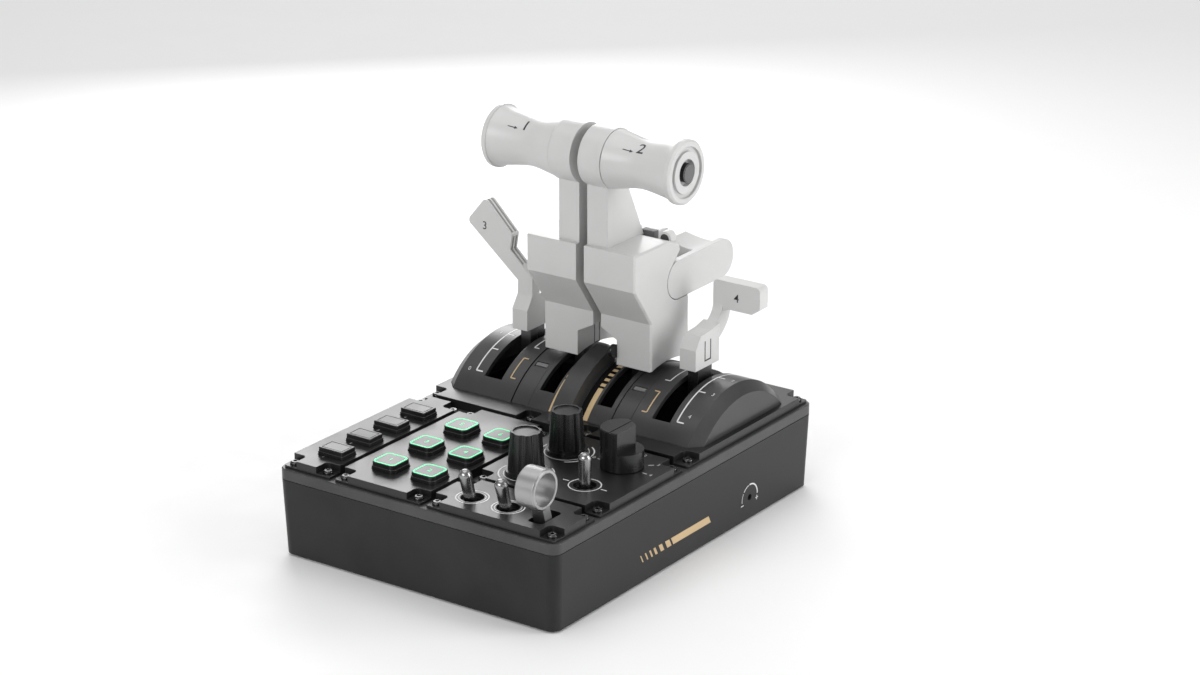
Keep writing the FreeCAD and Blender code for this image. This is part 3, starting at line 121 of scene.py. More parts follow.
grainLook = {"scale": 900.0, "smudges": 22.0, "fineScale": 2.3, "fineDetail": 3.0, "fineShare": 0.6,
             "slowDetail": 5.0, "distortion": 0.6, "smudge": (0.35, 0.70), "speck": (0.66, 0.74)}


def makeGrainGroup():
    # moulded texture: small cells over a finer noise, plus slow smudges from handling
    inputs = [("Vector", "NodeSocketVector", None), ("Scale", "NodeSocketFloat", grainLook["scale"]),
              ("Smudges", "NodeSocketFloat", grainLook["smudges"])]
    outputs = [("Height", "NodeSocketFloat"), ("Smudge", "NodeSocketFloat"),
               ("Speck", "NodeSocketFloat")]
    tree, gin, gout = newGroup("moulded grain", inputs, outputs)
    cells = addNode(tree, "ShaderNodeTexVoronoi", feature="SMOOTH_F1")
    tree.links.new(gin.outputs["Vector"], cells.inputs["Vector"])
    tree.links.new(gin.outputs["Scale"], cells.inputs["Scale"])
    fine = addNode(tree, "ShaderNodeTexNoise")
    fine.inputs["Detail"].default_value = grainLook["fineDetail"]
    tree.links.new(gin.outputs["Vector"], fine.inputs["Vector"])
    fineScale = combine(tree, "MULTIPLY", gin.outputs["Scale"], grainLook["fineScale"])
    tree.links.new(fineScale, fine.inputs["Scale"])
    slow = addNode(tree, "ShaderNodeTexNoise")
    slow.inputs["Detail"].default_value = grainLook["slowDetail"]
    slow.inputs["Distortion"].default_value = grainLook["distortion"]
    tree.links.new(gin.outputs["Vector"], slow.inputs["Vector"])
    tree.links.new(gin.outputs["Smudges"], slow.inputs["Scale"])
    fineHeight = combine(tree, "MULTIPLY", fine.outputs["Fac"], grainLook["fineShare"])
    height = combine(tree, "ADD", cells.outputs["Distance"], fineHeight)
    tree.links.new(height, gout.inputs["Height"])
    tree.links.new(ramp(tree, slow.outputs["Fac"], *grainLook["smudge"]), gout.inputs["Smudge"])
    tree.links.new(ramp(tree, fine.outputs["Fac"], *grainLook["speck"]), gout.inputs["Speck"])
    return tree


edgeGroup = makeEdgeGroup()
grainGroup = makeGrainGroup()
print("shader groups built")


# materials
surfaceLook = {"smudge": 0.22, "speck": 0.15, "bumpStrength": 0.35, "coatRough": 0.12}


def makeMaterial(name, base, light, rough=(0.35, 0.5), grain=900.0, bump=0.02, metal=0.0,
                 radius=0.0004, edgeWearAndHighlight=0.5, coat=0.0, brushed=None, specular=0.5, sheen=0.0):
    # base to light is the edge wear, partly a painted highlight on the edges; rough runs from clean to
    # smudged; bump is in millimetres
    material = bpy.data.materials.new(name)
    material.use_nodes = True
    tree = material.node_tree
    shader = tree.nodes["Principled BSDF"]
    place = addNode(tree, "ShaderNodeTexCoord").outputs["Object"]
    if brushed:
        mapping = addNode(tree, "ShaderNodeMapping")
        mapping.inputs["Scale"].default_value = brushed
        tree.links.new(place, mapping.inputs["Vector"])
        place = mapping.outputs["Vector"]
    edges = addNode(tree, "ShaderNodeGroup", node_tree=edgeGroup)
    edges.inputs["Radius"].default_value = radius
    grains = addNode(tree, "ShaderNodeGroup", node_tree=grainGroup)
    grains.inputs["Scale"].default_value = grain
    for group in (edges, grains):
        tree.links.new(place, group.inputs["Vector"])
    tone = addNode(tree, "ShaderNodeMix", data_type="RGBA")
    tone.inputs["A"].default_value = (*base, 1)
    tone.inputs["B"].default_value = (*light, 1)
    # lighter edges: partly real wear, partly a painted highlight
    wornAndHighlightedEdges = combine(tree, "MULTIPLY", edges.outputs["Edge"], edgeWearAndHighlight)
    smudged = combine(tree, "MULTIPLY", grains.outputs["Smudge"], surfaceLook["smudge"])
    specks = combine(tree, "MULTIPLY", grains.outputs["Speck"], surfaceLook["speck"])
    amount = combine(tree, "MAXIMUM", wornAndHighlightedEdges, smudged)
    tree.links.new(combine(tree, "MAXIMUM", amount, specks), tone.inputs["Factor"])
    tree.links.new(tone.outputs["Result"], shader.inputs["Base Color"])
    roughness = ramp(tree, grains.outputs["Smudge"], 0.0, 1.0, *rough)
    tree.links.new(roughness, shader.inputs["Roughness"])
    bumpNode = addNode(tree, "ShaderNodeBump")
    bumpNode.inputs["Strength"].default_value = surfaceLook["bumpStrength"]
    bumpNode.inputs["Distance"].default_value = bump * mm
    tree.links.new(grains.outputs["Height"], bumpNode.inputs["Height"])
    if radius:
        tree.links.new(edges.outputs["Normal"], bumpNode.inputs["Normal"])
    tree.links.new(bumpNode.outputs["Normal"], shader.inputs["Normal"])
    shader.inputs["Metallic"].default_value = metal
    shader.inputs["Specular IOR Level"].default_value = specular
    shader.inputs["Sheen Weight"].default_value = sheen
    if coat:
        shader.inputs["Coat Weight"].default_value = coat
        shader.inputs["Coat Roughness"].default_value = surfaceLook["coatRough"]
    return material


housingSatin = makeMaterial("housing satin", housing["colour"], housing["light"],
                            rough=(0.40, 0.52), grain=housing["grain"], bump=0.02, edgeWearAndHighlight=0.8,
                            specular=0.20, sheen=0.12)
rimSatin = makeMaterial("rim satin", rim["colour"], rim["light"], rough=(0.34, 0.44),
                        grain=rim["grain"], bump=0.012, edgeWearAndHighlight=0.9)
panelSatin = makeMaterial("panel satin", panels["colour"], panels["light"], rough=(0.30, 0.38),
                          grain=1500.0, bump=0.008, edgeWearAndHighlight=0.9)
coverSatin = makeMaterial("cover satin", drum["colour"], drum["light"], rough=(0.30, 0.40),
                          grain=1500.0, bump=0.008, edgeWearAndHighlight=0.9)
keySide = makeMaterial("key side", keys["side"], keys["cap"], rough=(0.24, 0.34), grain=1400.0,
                       bump=0.006)
# up-facing key tops: a lighter copy of the key colour, painted highlight for the light the tops reflect
keyTopPaintedHighlight = makeMaterial("key top painted highlight", keys["cap"], (0.09, 0.09, 0.09), rough=(0.32, 0.42), grain=1400.0,
                      bump=0.008)
handlePaint = makeMaterial("handle paint", handles["colour"], handles["light"], rough=(0.34, 0.44),
                           grain=1200.0, bump=0.010, coat=0.12, edgeWearAndHighlight=0.85, radius=0.0006)
buttonGrey = makeMaterial("button grey", (0.10, 0.10, 0.102), (0.2, 0.2, 0.2), rough=(0.30, 0.40),
                          grain=1300.0, bump=0.008)
knobBlack = makeMaterial("knob black", (0.008, 0.008, 0.0085), (0.03, 0.03, 0.03),
                         rough=(0.24, 0.30), grain=1300.0, bump=0.002, edgeWearAndHighlight=0.1, radius=0.0)
knobFace = makeMaterial("knob face", (0.03, 0.03, 0.031), (0.09, 0.09, 0.09), rough=(0.30, 0.38),
                        grain=1300.0, bump=0.004)
armSteel = makeMaterial("arm steel", (0.10, 0.10, 0.103), (0.3, 0.3, 0.31), rough=(0.26, 0.40),
                        grain=700.0, bump=0.006, metal=1.0, radius=0.0003, brushed=(1, 1, 0.05))
batMetal = makeMaterial("bat metal", (0.30, 0.30, 0.305), (0.5, 0.5, 0.5), rough=(0.22, 0.28),
                        grain=700.0, bump=0.001, metal=1.0, radius=0.0, brushed=(1, 1, 0.1),
                        edgeWearAndHighlight=0.1)
ringMetal = makeMaterial("ring metal", (0.40, 0.40, 0.405), (0.6, 0.6, 0.6), rough=(0.36, 0.46),
                         grain=1600.0, bump=0.01, metal=1.0, radius=0.0005)
screwMetal = makeMaterial("screw metal", (0.06, 0.06, 0.062), (0.4, 0.4, 0.4), rough=(0.20, 0.30),
                          grain=900.0, bump=0.003, metal=1.0, radius=0.0003, edgeWearAndHighlight=0.9)
# near-black: on the toggle bushings this is painted shade for the dark recessed holes they sit in; also
# the stop pad's colour
bushBlack = makeMaterial("bush black", (0.02, 0.02, 0.02), (0.08, 0.08, 0.08), rough=(0.22, 0.32),
                         grain=900.0, bump=0.003, metal=0.6, radius=0.0003)
rubberBlack = makeMaterial("rubber black", (0.01, 0.01, 0.01), (0.03, 0.03, 0.03), rough=(0.6, 0.8),
                           grain=600.0, bump=0.05)
boardGreen = makeMaterial("board green", (0.012, 0.09, 0.035), (0.02, 0.14, 0.06), rough=(0.3, 0.4),
                          grain=900.0, bump=0.01)
padBrown = makeMaterial("friction pad", (0.10, 0.065, 0.035), (0.2, 0.14, 0.08), rough=(0.7, 0.9),
                        grain=500.0, bump=0.05)
alloy = makeMaterial("bracket alloy", (0.42, 0.42, 0.43), (0.6, 0.6, 0.6), rough=(0.3, 0.45),
                     grain=600.0, bump=0.02, metal=1.0)
inkWhite = makeMaterial("white ink", inks["white"], (0.5, 0.5, 0.5), rough=(0.4, 0.5), grain=2500.0,
                        bump=0.004)
inkGold = makeMaterial("gold ink", inks["gold"], (0.5, 0.36, 0.2), rough=(0.35, 0.45), grain=2500.0,
                       bump=0.004)
inkDark = makeMaterial("dark ink", inks["dark"], (0.1, 0.1, 0.1), rough=(0.4, 0.5), grain=2500.0,
                       bump=0.004)
# black of the drum inlays, also used as painted shade on the sides of the end button
glossBlackAndShade = makeMaterial("gloss black inlay and painted shade", (0.006, 0.006, 0.006), (0.02, 0.02, 0.02),
                          rough=(0.12, 0.2), grain=2500.0, bump=0.003)
barGrey = makeMaterial("bar grey", (0.16, 0.16, 0.165), (0.3, 0.3, 0.3), rough=(0.2, 0.3),
                       grain=2500.0, bump=0.003)
lampGreen = makeMaterial("lamp green", keys["lamp"], (0.1, 0.95, 0.45), rough=(0.35, 0.45),
                         grain=2500.0, bump=0.004)
lampShader = lampGreen.node_tree.nodes["Principled BSDF"]
lampShader.inputs["Emission Color"].default_value = (*keys["lamp"], 1)
lampShader.inputs["Emission Strength"].default_value = keys["glow"]

finishOf = {
    "base_tub": housingSatin, "bottom_plate": housingSatin, "rim_frame": rimSatin,
    "rubber_feet": rubberBlack, "cover_screws": screwMetal, "centre_rib": rimSatin,
    "main_axle": armSteel, "axle_brackets": alloy, "friction_discs": padBrown,
    # toggle bushings near-black: painted shade in the recessed holes
    "friction_screw": screwMetal, "toggle_bushings": bushBlack, "switch_bodies": keySide,
    "control_board": boardGreen, "angle_sensors": boardGreen, "usb_socket": screwMetal,
    "gear_lever": ringMetal, "selector_knob": knobBlack, "speed_brake_arm": armSteel,
    "flaps_arm": armSteel, "speed_brake_handle": handlePaint, "flaps_handle": handlePaint,
}
finishByStart = {
    "arc_cover": coverSatin, "window_strip": coverSatin, "throttle_arm": armSteel,
    "throttle_head": handlePaint, "grip": handlePaint, "end_button": buttonGrey,
    "thumb_switch": buttonGrey, "reverse_lever": handlePaint, "reverse_pin": armSteel,
    "rectangular_key": keySide, "mode_key": keySide, "toggle_bat": batMetal,
    "encoder_knob": knobBlack,
}
for nodeName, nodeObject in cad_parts.items():
    finish = finishOf.get(nodeName)
    for start, material in finishByStart.items():
        if nodeName.startswith(start) and not nodeName.endswith("panel"):
            finish = material
    if nodeName.endswith("_panel"):
        finish = panelSatin
    nodeObject.data.materials.clear()
    nodeObject.data.materials.append(finish)


def paintFaces(start, material, chosen):
    # a second material in a slot of its own, on the faces that the test picks
    for name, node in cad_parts.items():
        if not name.startswith(start) or name.endswith("panel"):
            continue
        node.data.materials.append(material)
        turn = node.matrix_world
        for face in node.data.polygons:
            centre = turn @ face.center / mm
            normal = (turn.to_3x3() @ face.normal).normalized()
            if chosen(centre, normal):
                face.material_index = 1


faceTests = {"up": 0.9, "knobRise": 12, "endwards": 0.7}


def facesUp(centre, normal):
    return normal.z > faceTests["up"]


def knobTops(centre, normal):
    return facesUp(centre, normal) and centre.z > panels["top"] + faceTests["knobRise"]


# the sides of the end button, which are painted black as shade in the recess around the button
def rimOfButton(centre, normal):
    return abs(normal.x) < faceTests["endwards"]


# painted highlight: the up-facing key tops get the lighter copy
for start in ("rectangular_key", "mode_key"):
    paintFaces(start, keyTopPaintedHighlight, facesUp)
for start in ("encoder_knob", "selector_knob"):
    paintFaces(start, knobFace, knobTops)
# painted shade: the end button's sides are black, for the shade in the recess around it
paintFaces("end_button", glossBlackAndShade, rimOfButton)
print("materials on", len(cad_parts), "nodes")


# printed marks: thin raised ink that follows the surface it is on
drawing = {"arcStep": 6, "fewest": 6, "cornerStep": 15, "figureSteps": 4, "height": 0.06, "sunk": 0.03}


def strip(points, width, close=False):
    # a band of quads of constant width along a list of 2-D points
    count = len(points)
    verts, faces = [], []
    for i, (u, v) in enumerate(points):
        before = points[(i - 1) % count] if (i or close) else points[i]
        after = points[(i + 1) % count] if (i < count - 1 or close) else points[i]
        along = Vector((after[0] - before[0], after[1] - before[1])).normalized()
        side = Vector((-along.y, along.x)) * width / 2
        verts += [(u + side.x, v + side.y), (u - side.x, v - side.y)]
    for i in range(count if close else count - 1):
        a, b = 2 * i, 2 * ((i + 1) % count)
        faces.append((a, a + 1, b + 1, b))
    return verts, faces


def line(start, end, width, step=1.0):
    pieces = max(1, math.ceil(math.dist(start, end) / step))
    across, along = end[0] - start[0], end[1] - start[1]
    points = [(start[0] + across * i / pieces, start[1] + along * i / pieces) for i in range(pieces + 1)]
    return strip(points, width)


def ring(x, y, radius, width, start=0.0, end=360.0):
    full = end - start >= 360
    steps = max(drawing["fewest"], int((end - start) / drawing["arcStep"]))
    count = steps if full else steps + 1
    angles = [math.radians(start + (end - start) * i / steps) for i in range(count)]
    return strip([(x + radius * math.cos(a), y + radius * math.sin(a)) for a in angles], width, full)


def roundedLoop(x, y, half, corner, width):
    points = []
    straight = half - corner
    for cx, cy, first in ((1, 1, 0), (-1, 1, 90), (-1, -1, 180), (1, -1, 270)):
        for step in range(90 // drawing["cornerStep"] + 1):
            a = math.radians(first + step * drawing["cornerStep"])
            points.append((x + cx * straight + corner * math.cos(a),
                           y + cy * straight + corner * math.sin(a)))
    return strip(points, width, True)


def numeral(text, x, y, size, weight=0.0, slices=0.0):
    # slices cuts the figure into low bands, so that it can follow a tight curve
    curve = bpy.data.curves.new("numeral", "FONT")
    curve.body = text
    curve.size = size
    curve.offset = weight
    curve.resolution_u = drawing["figureSteps"]
    curve.align_x = "CENTER"
    curve.align_y = "CENTER"
    holder = bpy.data.objects.new("numeral", curve)
    bpy.context.collection.objects.link(holder)
    graph = bpy.context.evaluated_depsgraph_get()
    mesh = bpy.data.meshes.new_from_object(holder.evaluated_get(graph))
    bm = bmesh.new()
    bm.from_mesh(mesh)
    if slices:
        reach = int(size / slices)
        for i in range(-reach, reach + 1):
            everything = bm.verts[:] + bm.edges[:] + bm.faces[:]
            bmesh.ops.bisect_plane(bm, geom=everything, plane_no=(0, 1, 0), plane_co=(0, i * slices, 0))
    verts = [(x + v.co.x, y + v.co.y) for v in bm.verts]
    faces = [tuple(v.index for v in f.verts) for f in bm.faces]
    bm.free()
    bpy.data.objects.remove(holder)
    bpy.data.curves.remove(curve)
    bpy.data.meshes.remove(mesh)
    return verts, faces


def printed(name, shapes, surface, ink, body, height=drawing["height"], sunk=drawing["sunk"]):
    # surface turns (u, v) in mm into a point and its outward direction
    bm = bmesh.new()
    for verts, faces in shapes:
        low, high = [], []
        for u, v in verts:
            point, out = surface(u, v)
            low.append(bm.verts.new((point - out * sunk) * mm))
            high.append(bm.verts.new((point + out * height) * mm))
        sides = {}
        for face in faces:
            a, b, c = (high[i].co for i in face[:3])
            upward = (b - a).cross(c - a).dot(surface(*verts[face[0]])[1]) > 0
            order = list(face) if upward else list(face)[::-1]
            try:
                bm.faces.new([high[i] for i in order])
                bm.faces.new([low[i] for i in reversed(order)])
            except ValueError:
                continue
            for i, first in enumerate(order):
                second = order[(i + 1) % len(order)]
                if (second, first) in sides:
                    del sides[(second, first)]
                else:
                    sides[(first, second)] = True
        for first, second in sides:
            bm.faces.new((high[first], low[first], low[second], high[second]))
    mesh = bpy.data.meshes.new(name)
    bm.to_mesh(mesh)
    bm.free()
    mesh.materials.append(ink)
    piece = bpy.data.objects.new(name, mesh)
    bpy.context.collection.objects.link(piece)
    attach(piece, body)


def onPanel(u, v):
    return Vector((u, v, panels["top"])), Vector((0, 0, 1))


def onKeyTop(u, v):
    return Vector((u, v, keys["top"])), Vector((0, 0, 1))


def onDrum(u, v, inset=0.0):
    a = v / drum["radius"]
    out = Vector((0, math.sin(a), math.cos(a)))
    return Vector((u, drum["axisY"], drum["axisZ"])) + out * (drum["radius"] - inset), out


def onWall(u, v):
    out = Vector((wall["height"], 0, -wall["lean"])).normalized()
    return Vector((wall["x"] - wall["lean"] * (1 - v / wall["height"]), u, v)), out


def arc(degrees):
    return math.radians(degrees) * drum["radius"]


# marks on the flat panels
toggleMarks = {"ring": 9.0, "inner": 7.4, "width": 0.7, "innerWidth": 0.4, "tilt": (66.6, -61.6),
               "places": ((26.9, -110.2), (50.9, -110.2)), "dash": (10.6, 14.6)}
marks = []
for x, y in toggleMarks["places"]:
    marks.append(ring(x, y, toggleMarks["ring"], toggleMarks["width"]))
    marks.append(ring(x, y, toggleMarks["inner"], toggleMarks["innerWidth"]))
x, y = toggleMarks["tilt"]
near, far = toggleMarks["dash"]
marks.append(ring(x, y, toggleMarks["ring"], toggleMarks["width"]))
for side in (-1, 1):
    marks.append(line((x + side * near, y), (x + side * far, y), toggleMarks["width"]))
printed("toggle_rings", marks, onPanel, inkWhite, "base")

knobMarks = {"x": 30.4, "y": (-66.0, -28.0), "inner": 12.6, "outer": 15.4, "innerWidth": 0.5,
             "outerWidth": 0.8, "arcs": ((-60, 60), (120, 240))}
marks = []
for y in knobMarks["y"]:
    marks.append(ring(knobMarks["x"], y, knobMarks["inner"], knobMarks["innerWidth"]))
    for low, high in knobMarks["arcs"]:
        marks.append(ring(knobMarks["x"], y, knobMarks["outer"], knobMarks["outerWidth"], low, high))
printed("knob_rings", marks, onPanel, inkWhite, "base")

selectorMarks = {"x": 67.8, "y": -28.0, "from": 14.6, "to": 17.6, "number": 20.2, "width": 0.6,
                 "size": 3.4, "angles": (175, 130, 85, 40, -5)}
marks = []
centre = Vector((selectorMarks["x"], selectorMarks["y"]))
for i, degrees in enumerate(selectorMarks["angles"]):
    a = math.radians(degrees)
    d = Vector((math.cos(a), math.sin(a)))
    inner, outer = centre + d * selectorMarks["from"], centre + d * selectorMarks["to"]
    marks.append(line(inner, outer, selectorMarks["width"]))
    marks.append(numeral(str(i), *(centre + d * selectorMarks["number"]), selectorMarks["size"]))
printed("selector_scale", marks, onPanel, inkWhite, "base")

keyMarks = {"x": -71.7, "y": -104.5, "pitch": 24.4, "left": 4, "below": 7.4, "size": 2.6, "count": 4}
marks = []
for i in range(keyMarks["count"]):
    y = keyMarks["y"] + keyMarks["pitch"] * i - keyMarks["below"]
    marks.append(numeral(str(i + 1), keyMarks["x"] - keyMarks["left"], y, keyMarks["size"]))
printed("key_numbers", marks, onPanel, inkWhite, "base")

lampMarks = {"x": (-35.6, -8.4), "y": -102.0, "pitch": 32.2, "rows": 3, "half": 7.0, "corner": 2.6,
             "width": 0.9, "size": 4.6, "weight": 0.02}
number = 0
for row in range(lampMarks["rows"]):
    for x in lampMarks["x"]:
        number += 1
        y = lampMarks["y"] + lampMarks["pitch"] * row
        outline = roundedLoop(x, y, lampMarks["half"], lampMarks["corner"], lampMarks["width"])
        figure = numeral(str(number), x, y, lampMarks["size"], lampMarks["weight"])
        printed("lit_outline_%d" % number, [outline, figure], onKeyTop, lampGreen,
                "mode_key_%d" % number)
print("panel marks printed")

# marks on the drum: u along the axle, v along the arc from its top
leftScale = {"x": -72.3, "ticks": (-39.0, -22.0, -6.3, 9.5, 25.0, 39.0), "number": -5.0,
             "numbers": {0: "0", 2: "1", 4: "2"}}
rightScale = {"x": 69.1, "ticks": (-39.6, -15.8, 3.6, 22.0, 39.0), "number": 9.8,
              "numbers": {1: "3", 2: "2", 3: "1", 4: "0"}, "last": ("4", 5.9, -34.9)}
scaleLine = {"width": 0.9, "tick": 4.6, "size": 3.6}
marks = []
for scale in (leftScale, rightScale):
    x, ticks = scale["x"], scale["ticks"]
    marks.append(line((x, arc(ticks[0])), (x, arc(ticks[-1])), scaleLine["width"]))
    for degrees in ticks:
        marks.append(line((x, arc(degrees)), (x + scaleLine["tick"], arc(degrees)), scaleLine["width"]))
    for i, label in scale["numbers"].items():
        marks.append(numeral(label, x + scale["number"], arc(ticks[i]), scaleLine["size"]))
label, across, degrees = rightScale["last"]
marks.append(numeral(label, rightScale["x"] + across, arc(degrees), scaleLine["size"]))
printed("drum_scales", marks, onDrum, inkWhite, "base")


def bracket(x, side, low, high, hook, width):
    inner = x - side * hook
    upright = line((x, arc(low)), (x, arc(high)), width)
    hooks = [line((x, arc(end)), (inner, arc(end)), width) for end in (low, high)]
    return [upright, *hooks]


brackets = {"x": 47.8, "hook": 3.4, "width": 0.8, "gold": (-38.4, -23.4), "white": (-13.0, 13.0)}
for ink, key in ((inkGold, "gold"), (inkWhite, "white")):
    marks = []
    for side in (-1, 1):
        low, high = brackets[key]
        marks += bracket(side * brackets["x"], side, low, high, brackets["hook"], brackets["width"])
    printed(key + "_brackets", marks, onDrum, ink, "base")

# a light bar lies in each window of the inset strips
windowBar = {"x": 34.4, "half": 3.9, "low": -25.5, "high": -23.1, "inset": 1.4, "step": 8,
             "height": 0.7, "sunk": 0.3}


def inWindow(u, v):
    return onDrum(u, v, windowBar["inset"])


low, high = arc(windowBar["low"]), arc(windowBar["high"])
middle = (low + high) / 2
for name, side in (("left", -1), ("right", 1)):
    x = side * windowBar["x"]
    ends = (x - windowBar["half"], middle), (x + windowBar["half"], middle)
    bar = line(*ends, high - low, windowBar["step"])
    printed("window_bar_" + name, [bar], inWindow, barGrey, "base", windowBar["height"],
            windowBar["sunk"])

inlay = {"inner": 6.4, "outer": 13.6, "gold": 10.2, "low": -52.0, "high": 48, "goldHigh": -31.0,
         "step": 1.5, "blackHeight": 0.04, "goldHeight": 0.08}


def inlayBand(side, inner, high):
    # a band from the inlay's foot up to an angle, between one edge and the outer edge
    middle = side * (inner + inlay["outer"]) / 2
    low, top = (middle, arc(inlay["low"])), (middle, arc(high))
    return line(low, top, inlay["outer"] - inner, inlay["step"])


inlays = [inlayBand(side, inlay["inner"], inlay["high"]) for side in (-1, 1)]
golds = [inlayBand(side, inlay["gold"], inlay["goldHigh"]) for side in (-1, 1)]
printed("black_inlays", inlays, onDrum, glossBlackAndShade, "base", inlay["blackHeight"])
printed("gold_inlays", golds, onDrum, inkGold, "base", inlay["goldHeight"])
print("drum marks printed")


# bars repeated along the drum
def makeDashTree():
    tree = bpy.data.node_groups.new("dashes on an arc", "GeometryNodeTree")
    labels = (("Count", "NodeSocketInt", 5), ("Start", "NodeSocketFloat", 0.0),
              ("Step", "NodeSocketFloat", 0.08), ("Radius", "NodeSocketFloat", 0.06),
              ("Length", "NodeSocketFloat", 0.003), ("Width", "NodeSocketFloat", 0.002),
              ("Thickness", "NodeSocketFloat", 0.0002), ("Axis", "NodeSocketVector", (0, 0, 0)),
              ("Ink", "NodeSocketMaterial", None))
    tree.interface.new_socket("Geometry", in_out="OUTPUT", socket_type="NodeSocketGeometry")
    for label, kind, value in labels:
        socket = tree.interface.new_socket(label, in_out="INPUT", socket_type=kind)
        if value is not None:
            socket.default_value = value
    gin, gout = tree.nodes.new("NodeGroupInput"), tree.nodes.new("NodeGroupOutput")
    link = tree.links.new
    places = addNode(tree, "GeometryNodeMeshLine")
    places.inputs["Offset"].default_value = (0, 0, 0)
    link(gin.outputs["Count"], places.inputs["Count"])
    size = addNode(tree, "ShaderNodeCombineXYZ")
    for axis, label in zip("XYZ", ("Length", "Width", "Thickness")):
        link(gin.outputs[label], size.inputs[axis])
    cube = addNode(tree, "GeometryNodeMeshCube")
    link(size.outputs[0], cube.inputs["Size"])
    dots = addNode(tree, "GeometryNodeInstanceOnPoints")
    link(places.outputs["Mesh"], dots.inputs["Points"])
    link(cube.outputs["Mesh"], dots.inputs["Instance"])
    index = addNode(tree, "GeometryNodeInputIndex")
    along = combine(tree, "MULTIPLY", index.outputs[0], gin.outputs["Step"])
    angle = combine(tree, "ADD", gin.outputs["Start"], along)
    turn = addNode(tree, "ShaderNodeCombineXYZ")
    link(combine(tree, "MULTIPLY", angle, -1.0), turn.inputs["X"])
    spin = addNode(tree, "GeometryNodeRotateInstances")
    link(dots.outputs["Instances"], spin.inputs["Instances"])
    link(turn.outputs[0], spin.inputs["Rotation"])
    lift = addNode(tree, "ShaderNodeCombineXYZ")
    link(gin.outputs["Radius"], lift.inputs["Z"])
    shift = addNode(tree, "GeometryNodeTranslateInstances")
    shift.inputs["Local Space"].default_value = True
    link(spin.outputs["Instances"], shift.inputs["Instances"])
    link(lift.outputs[0], shift.inputs["Translation"])
    real = addNode(tree, "GeometryNodeRealizeInstances")
    link(shift.outputs["Instances"], real.inputs["Geometry"])
    move = addNode(tree, "GeometryNodeTransform")
    link(real.outputs["Geometry"], move.inputs["Geometry"])
    link(gin.outputs["Axis"], move.inputs["Translation"])
    paint = addNode(tree, "GeometryNodeSetMaterial")
    link(move.outputs["Geometry"], paint.inputs["Geometry"])
    link(gin.outputs["Ink"], paint.inputs["Material"])
    link(paint.outputs["Geometry"], gout.inputs["Geometry"])
    return tree


def fromTree(name, tree, body, **values):
    # sets the inputs by their identifiers, evaluates once, and keeps a plain mesh
    holder = bpy.data.objects.new(name, bpy.data.meshes.new(name))
    bpy.context.collection.objects.link(holder)
    modifier = holder.modifiers.new("nodes", "NODES")
    modifier.node_group = tree
    for item in tree.interface.items_tree:
        if item.in_out == "INPUT" and item.name in values:
            modifier[item.identifier] = values[item.name]
    graph = bpy.context.evaluated_depsgraph_get()
    mesh = bpy.data.meshes.new_from_object(holder.evaluated_get(graph))
    holder.modifiers.clear()
    holder.data = mesh
    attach(holder, body)


dashTree = makeDashTree()
dashes = {"start": -28.5, "step": 4.25, "count": 5, "length": 3.4, "width": 2.2, "thickness": 0.16}
for name, side in (("left", -1), ("right", 1)):
    middle = side * (inlay["gold"] + inlay["outer"]) / 2
    axis = (middle * mm, drum["axisY"] * mm, drum["axisZ"] * mm)
    fromTree("gold_dashes_" + name, dashTree, "base", Count=dashes["count"],
             Start=math.radians(dashes["start"]), Step=math.radians(dashes["step"]),
             Radius=drum["radius"] * mm, Length=dashes["length"] * mm, Width=dashes["width"] * mm,
             Thickness=dashes["thickness"] * mm, Axis=axis, Ink=inkGold)
print("dashes repeated")


# index marks on the flanks of the lever heads: u is Y, v is Z
def onFlank(x, side):
    return lambda u, v: (Vector((x, u, v)), Vector((side, 0, 0)))


def indexMark(low, high, width):
    # an open box: two uprights and the bar under them
    uprights = [line((y, low[1]), (y, high[1]), width) for y in (low[0], high[0])]
    return [*uprights, line((low[0] - width / 2, low[1]), (high[0] + width / 2, low[1]), width)]


flankMarks = {"headX": 13.7, "headLow": (61.4, 85.0), "headHigh": (66.4, 96.6), "blockX": 64.4,
              "blockLow": (59.4, 91.0), "blockHigh": (65.1, 102.8), "width": 0.9}
for side, head, block in ((-1, "throttle_1", "speed_brake"), (1, "throttle_2", "flaps")):
    mark = indexMark(flankMarks["headLow"], flankMarks["headHigh"], flankMarks["width"])
    printed("index_mark_" + head, mark, onFlank(side * flankMarks["headX"], -side), inkDark, head)
    mark = indexMark(flankMarks["blockLow"], flankMarks["blockHigh"], flankMarks["width"])
    printed("index_mark_" + block, mark, onFlank(side * flankMarks["blockX"], side), inkDark, block)


# marks wrapped on a grip: u along the axle, v round the grip from its top toward the front
def onto(nodeName, axisY, axisZ, reach=40.0):
    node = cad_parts[nodeName]
    turn = node.matrix_world
    tree = BVHTree.FromPolygons([turn @ v.co / mm for v in node.data.vertices],
                                [tuple(f.vertices) for f in node.data.polygons])

    def surface(u, v):
        a = math.radians(v)
        out = Vector((0, -math.sin(a), math.cos(a)))
        start = Vector((u, axisY, axisZ)) + out * reach
        hit = tree.ray_cast(start, -out)
        return hit[0], out
    return surface


gripMarks = {"x": 39.5, "number": 36.0, "arrow": 47.0, "size": 10.0, "perDegree": 0.25,
             "axisY": 39.0, "axisZ": 207.8, "weight": 0.03, "slices": 0.5, "height": 0.12, "sunk": 0.1}
arrow = {"tail": -10.5, "neck": -6.0, "width": 0.5, "headBack": -6.2, "headHalf": 0.9, "tip": -4.2}


def wrapped(shape, x, degrees):
    # a flat shape laid on the grip: its height turns into degrees round the axis
    verts, faces = shape
    return [(x + u, degrees - v / gripMarks["perDegree"]) for u, v in verts], faces


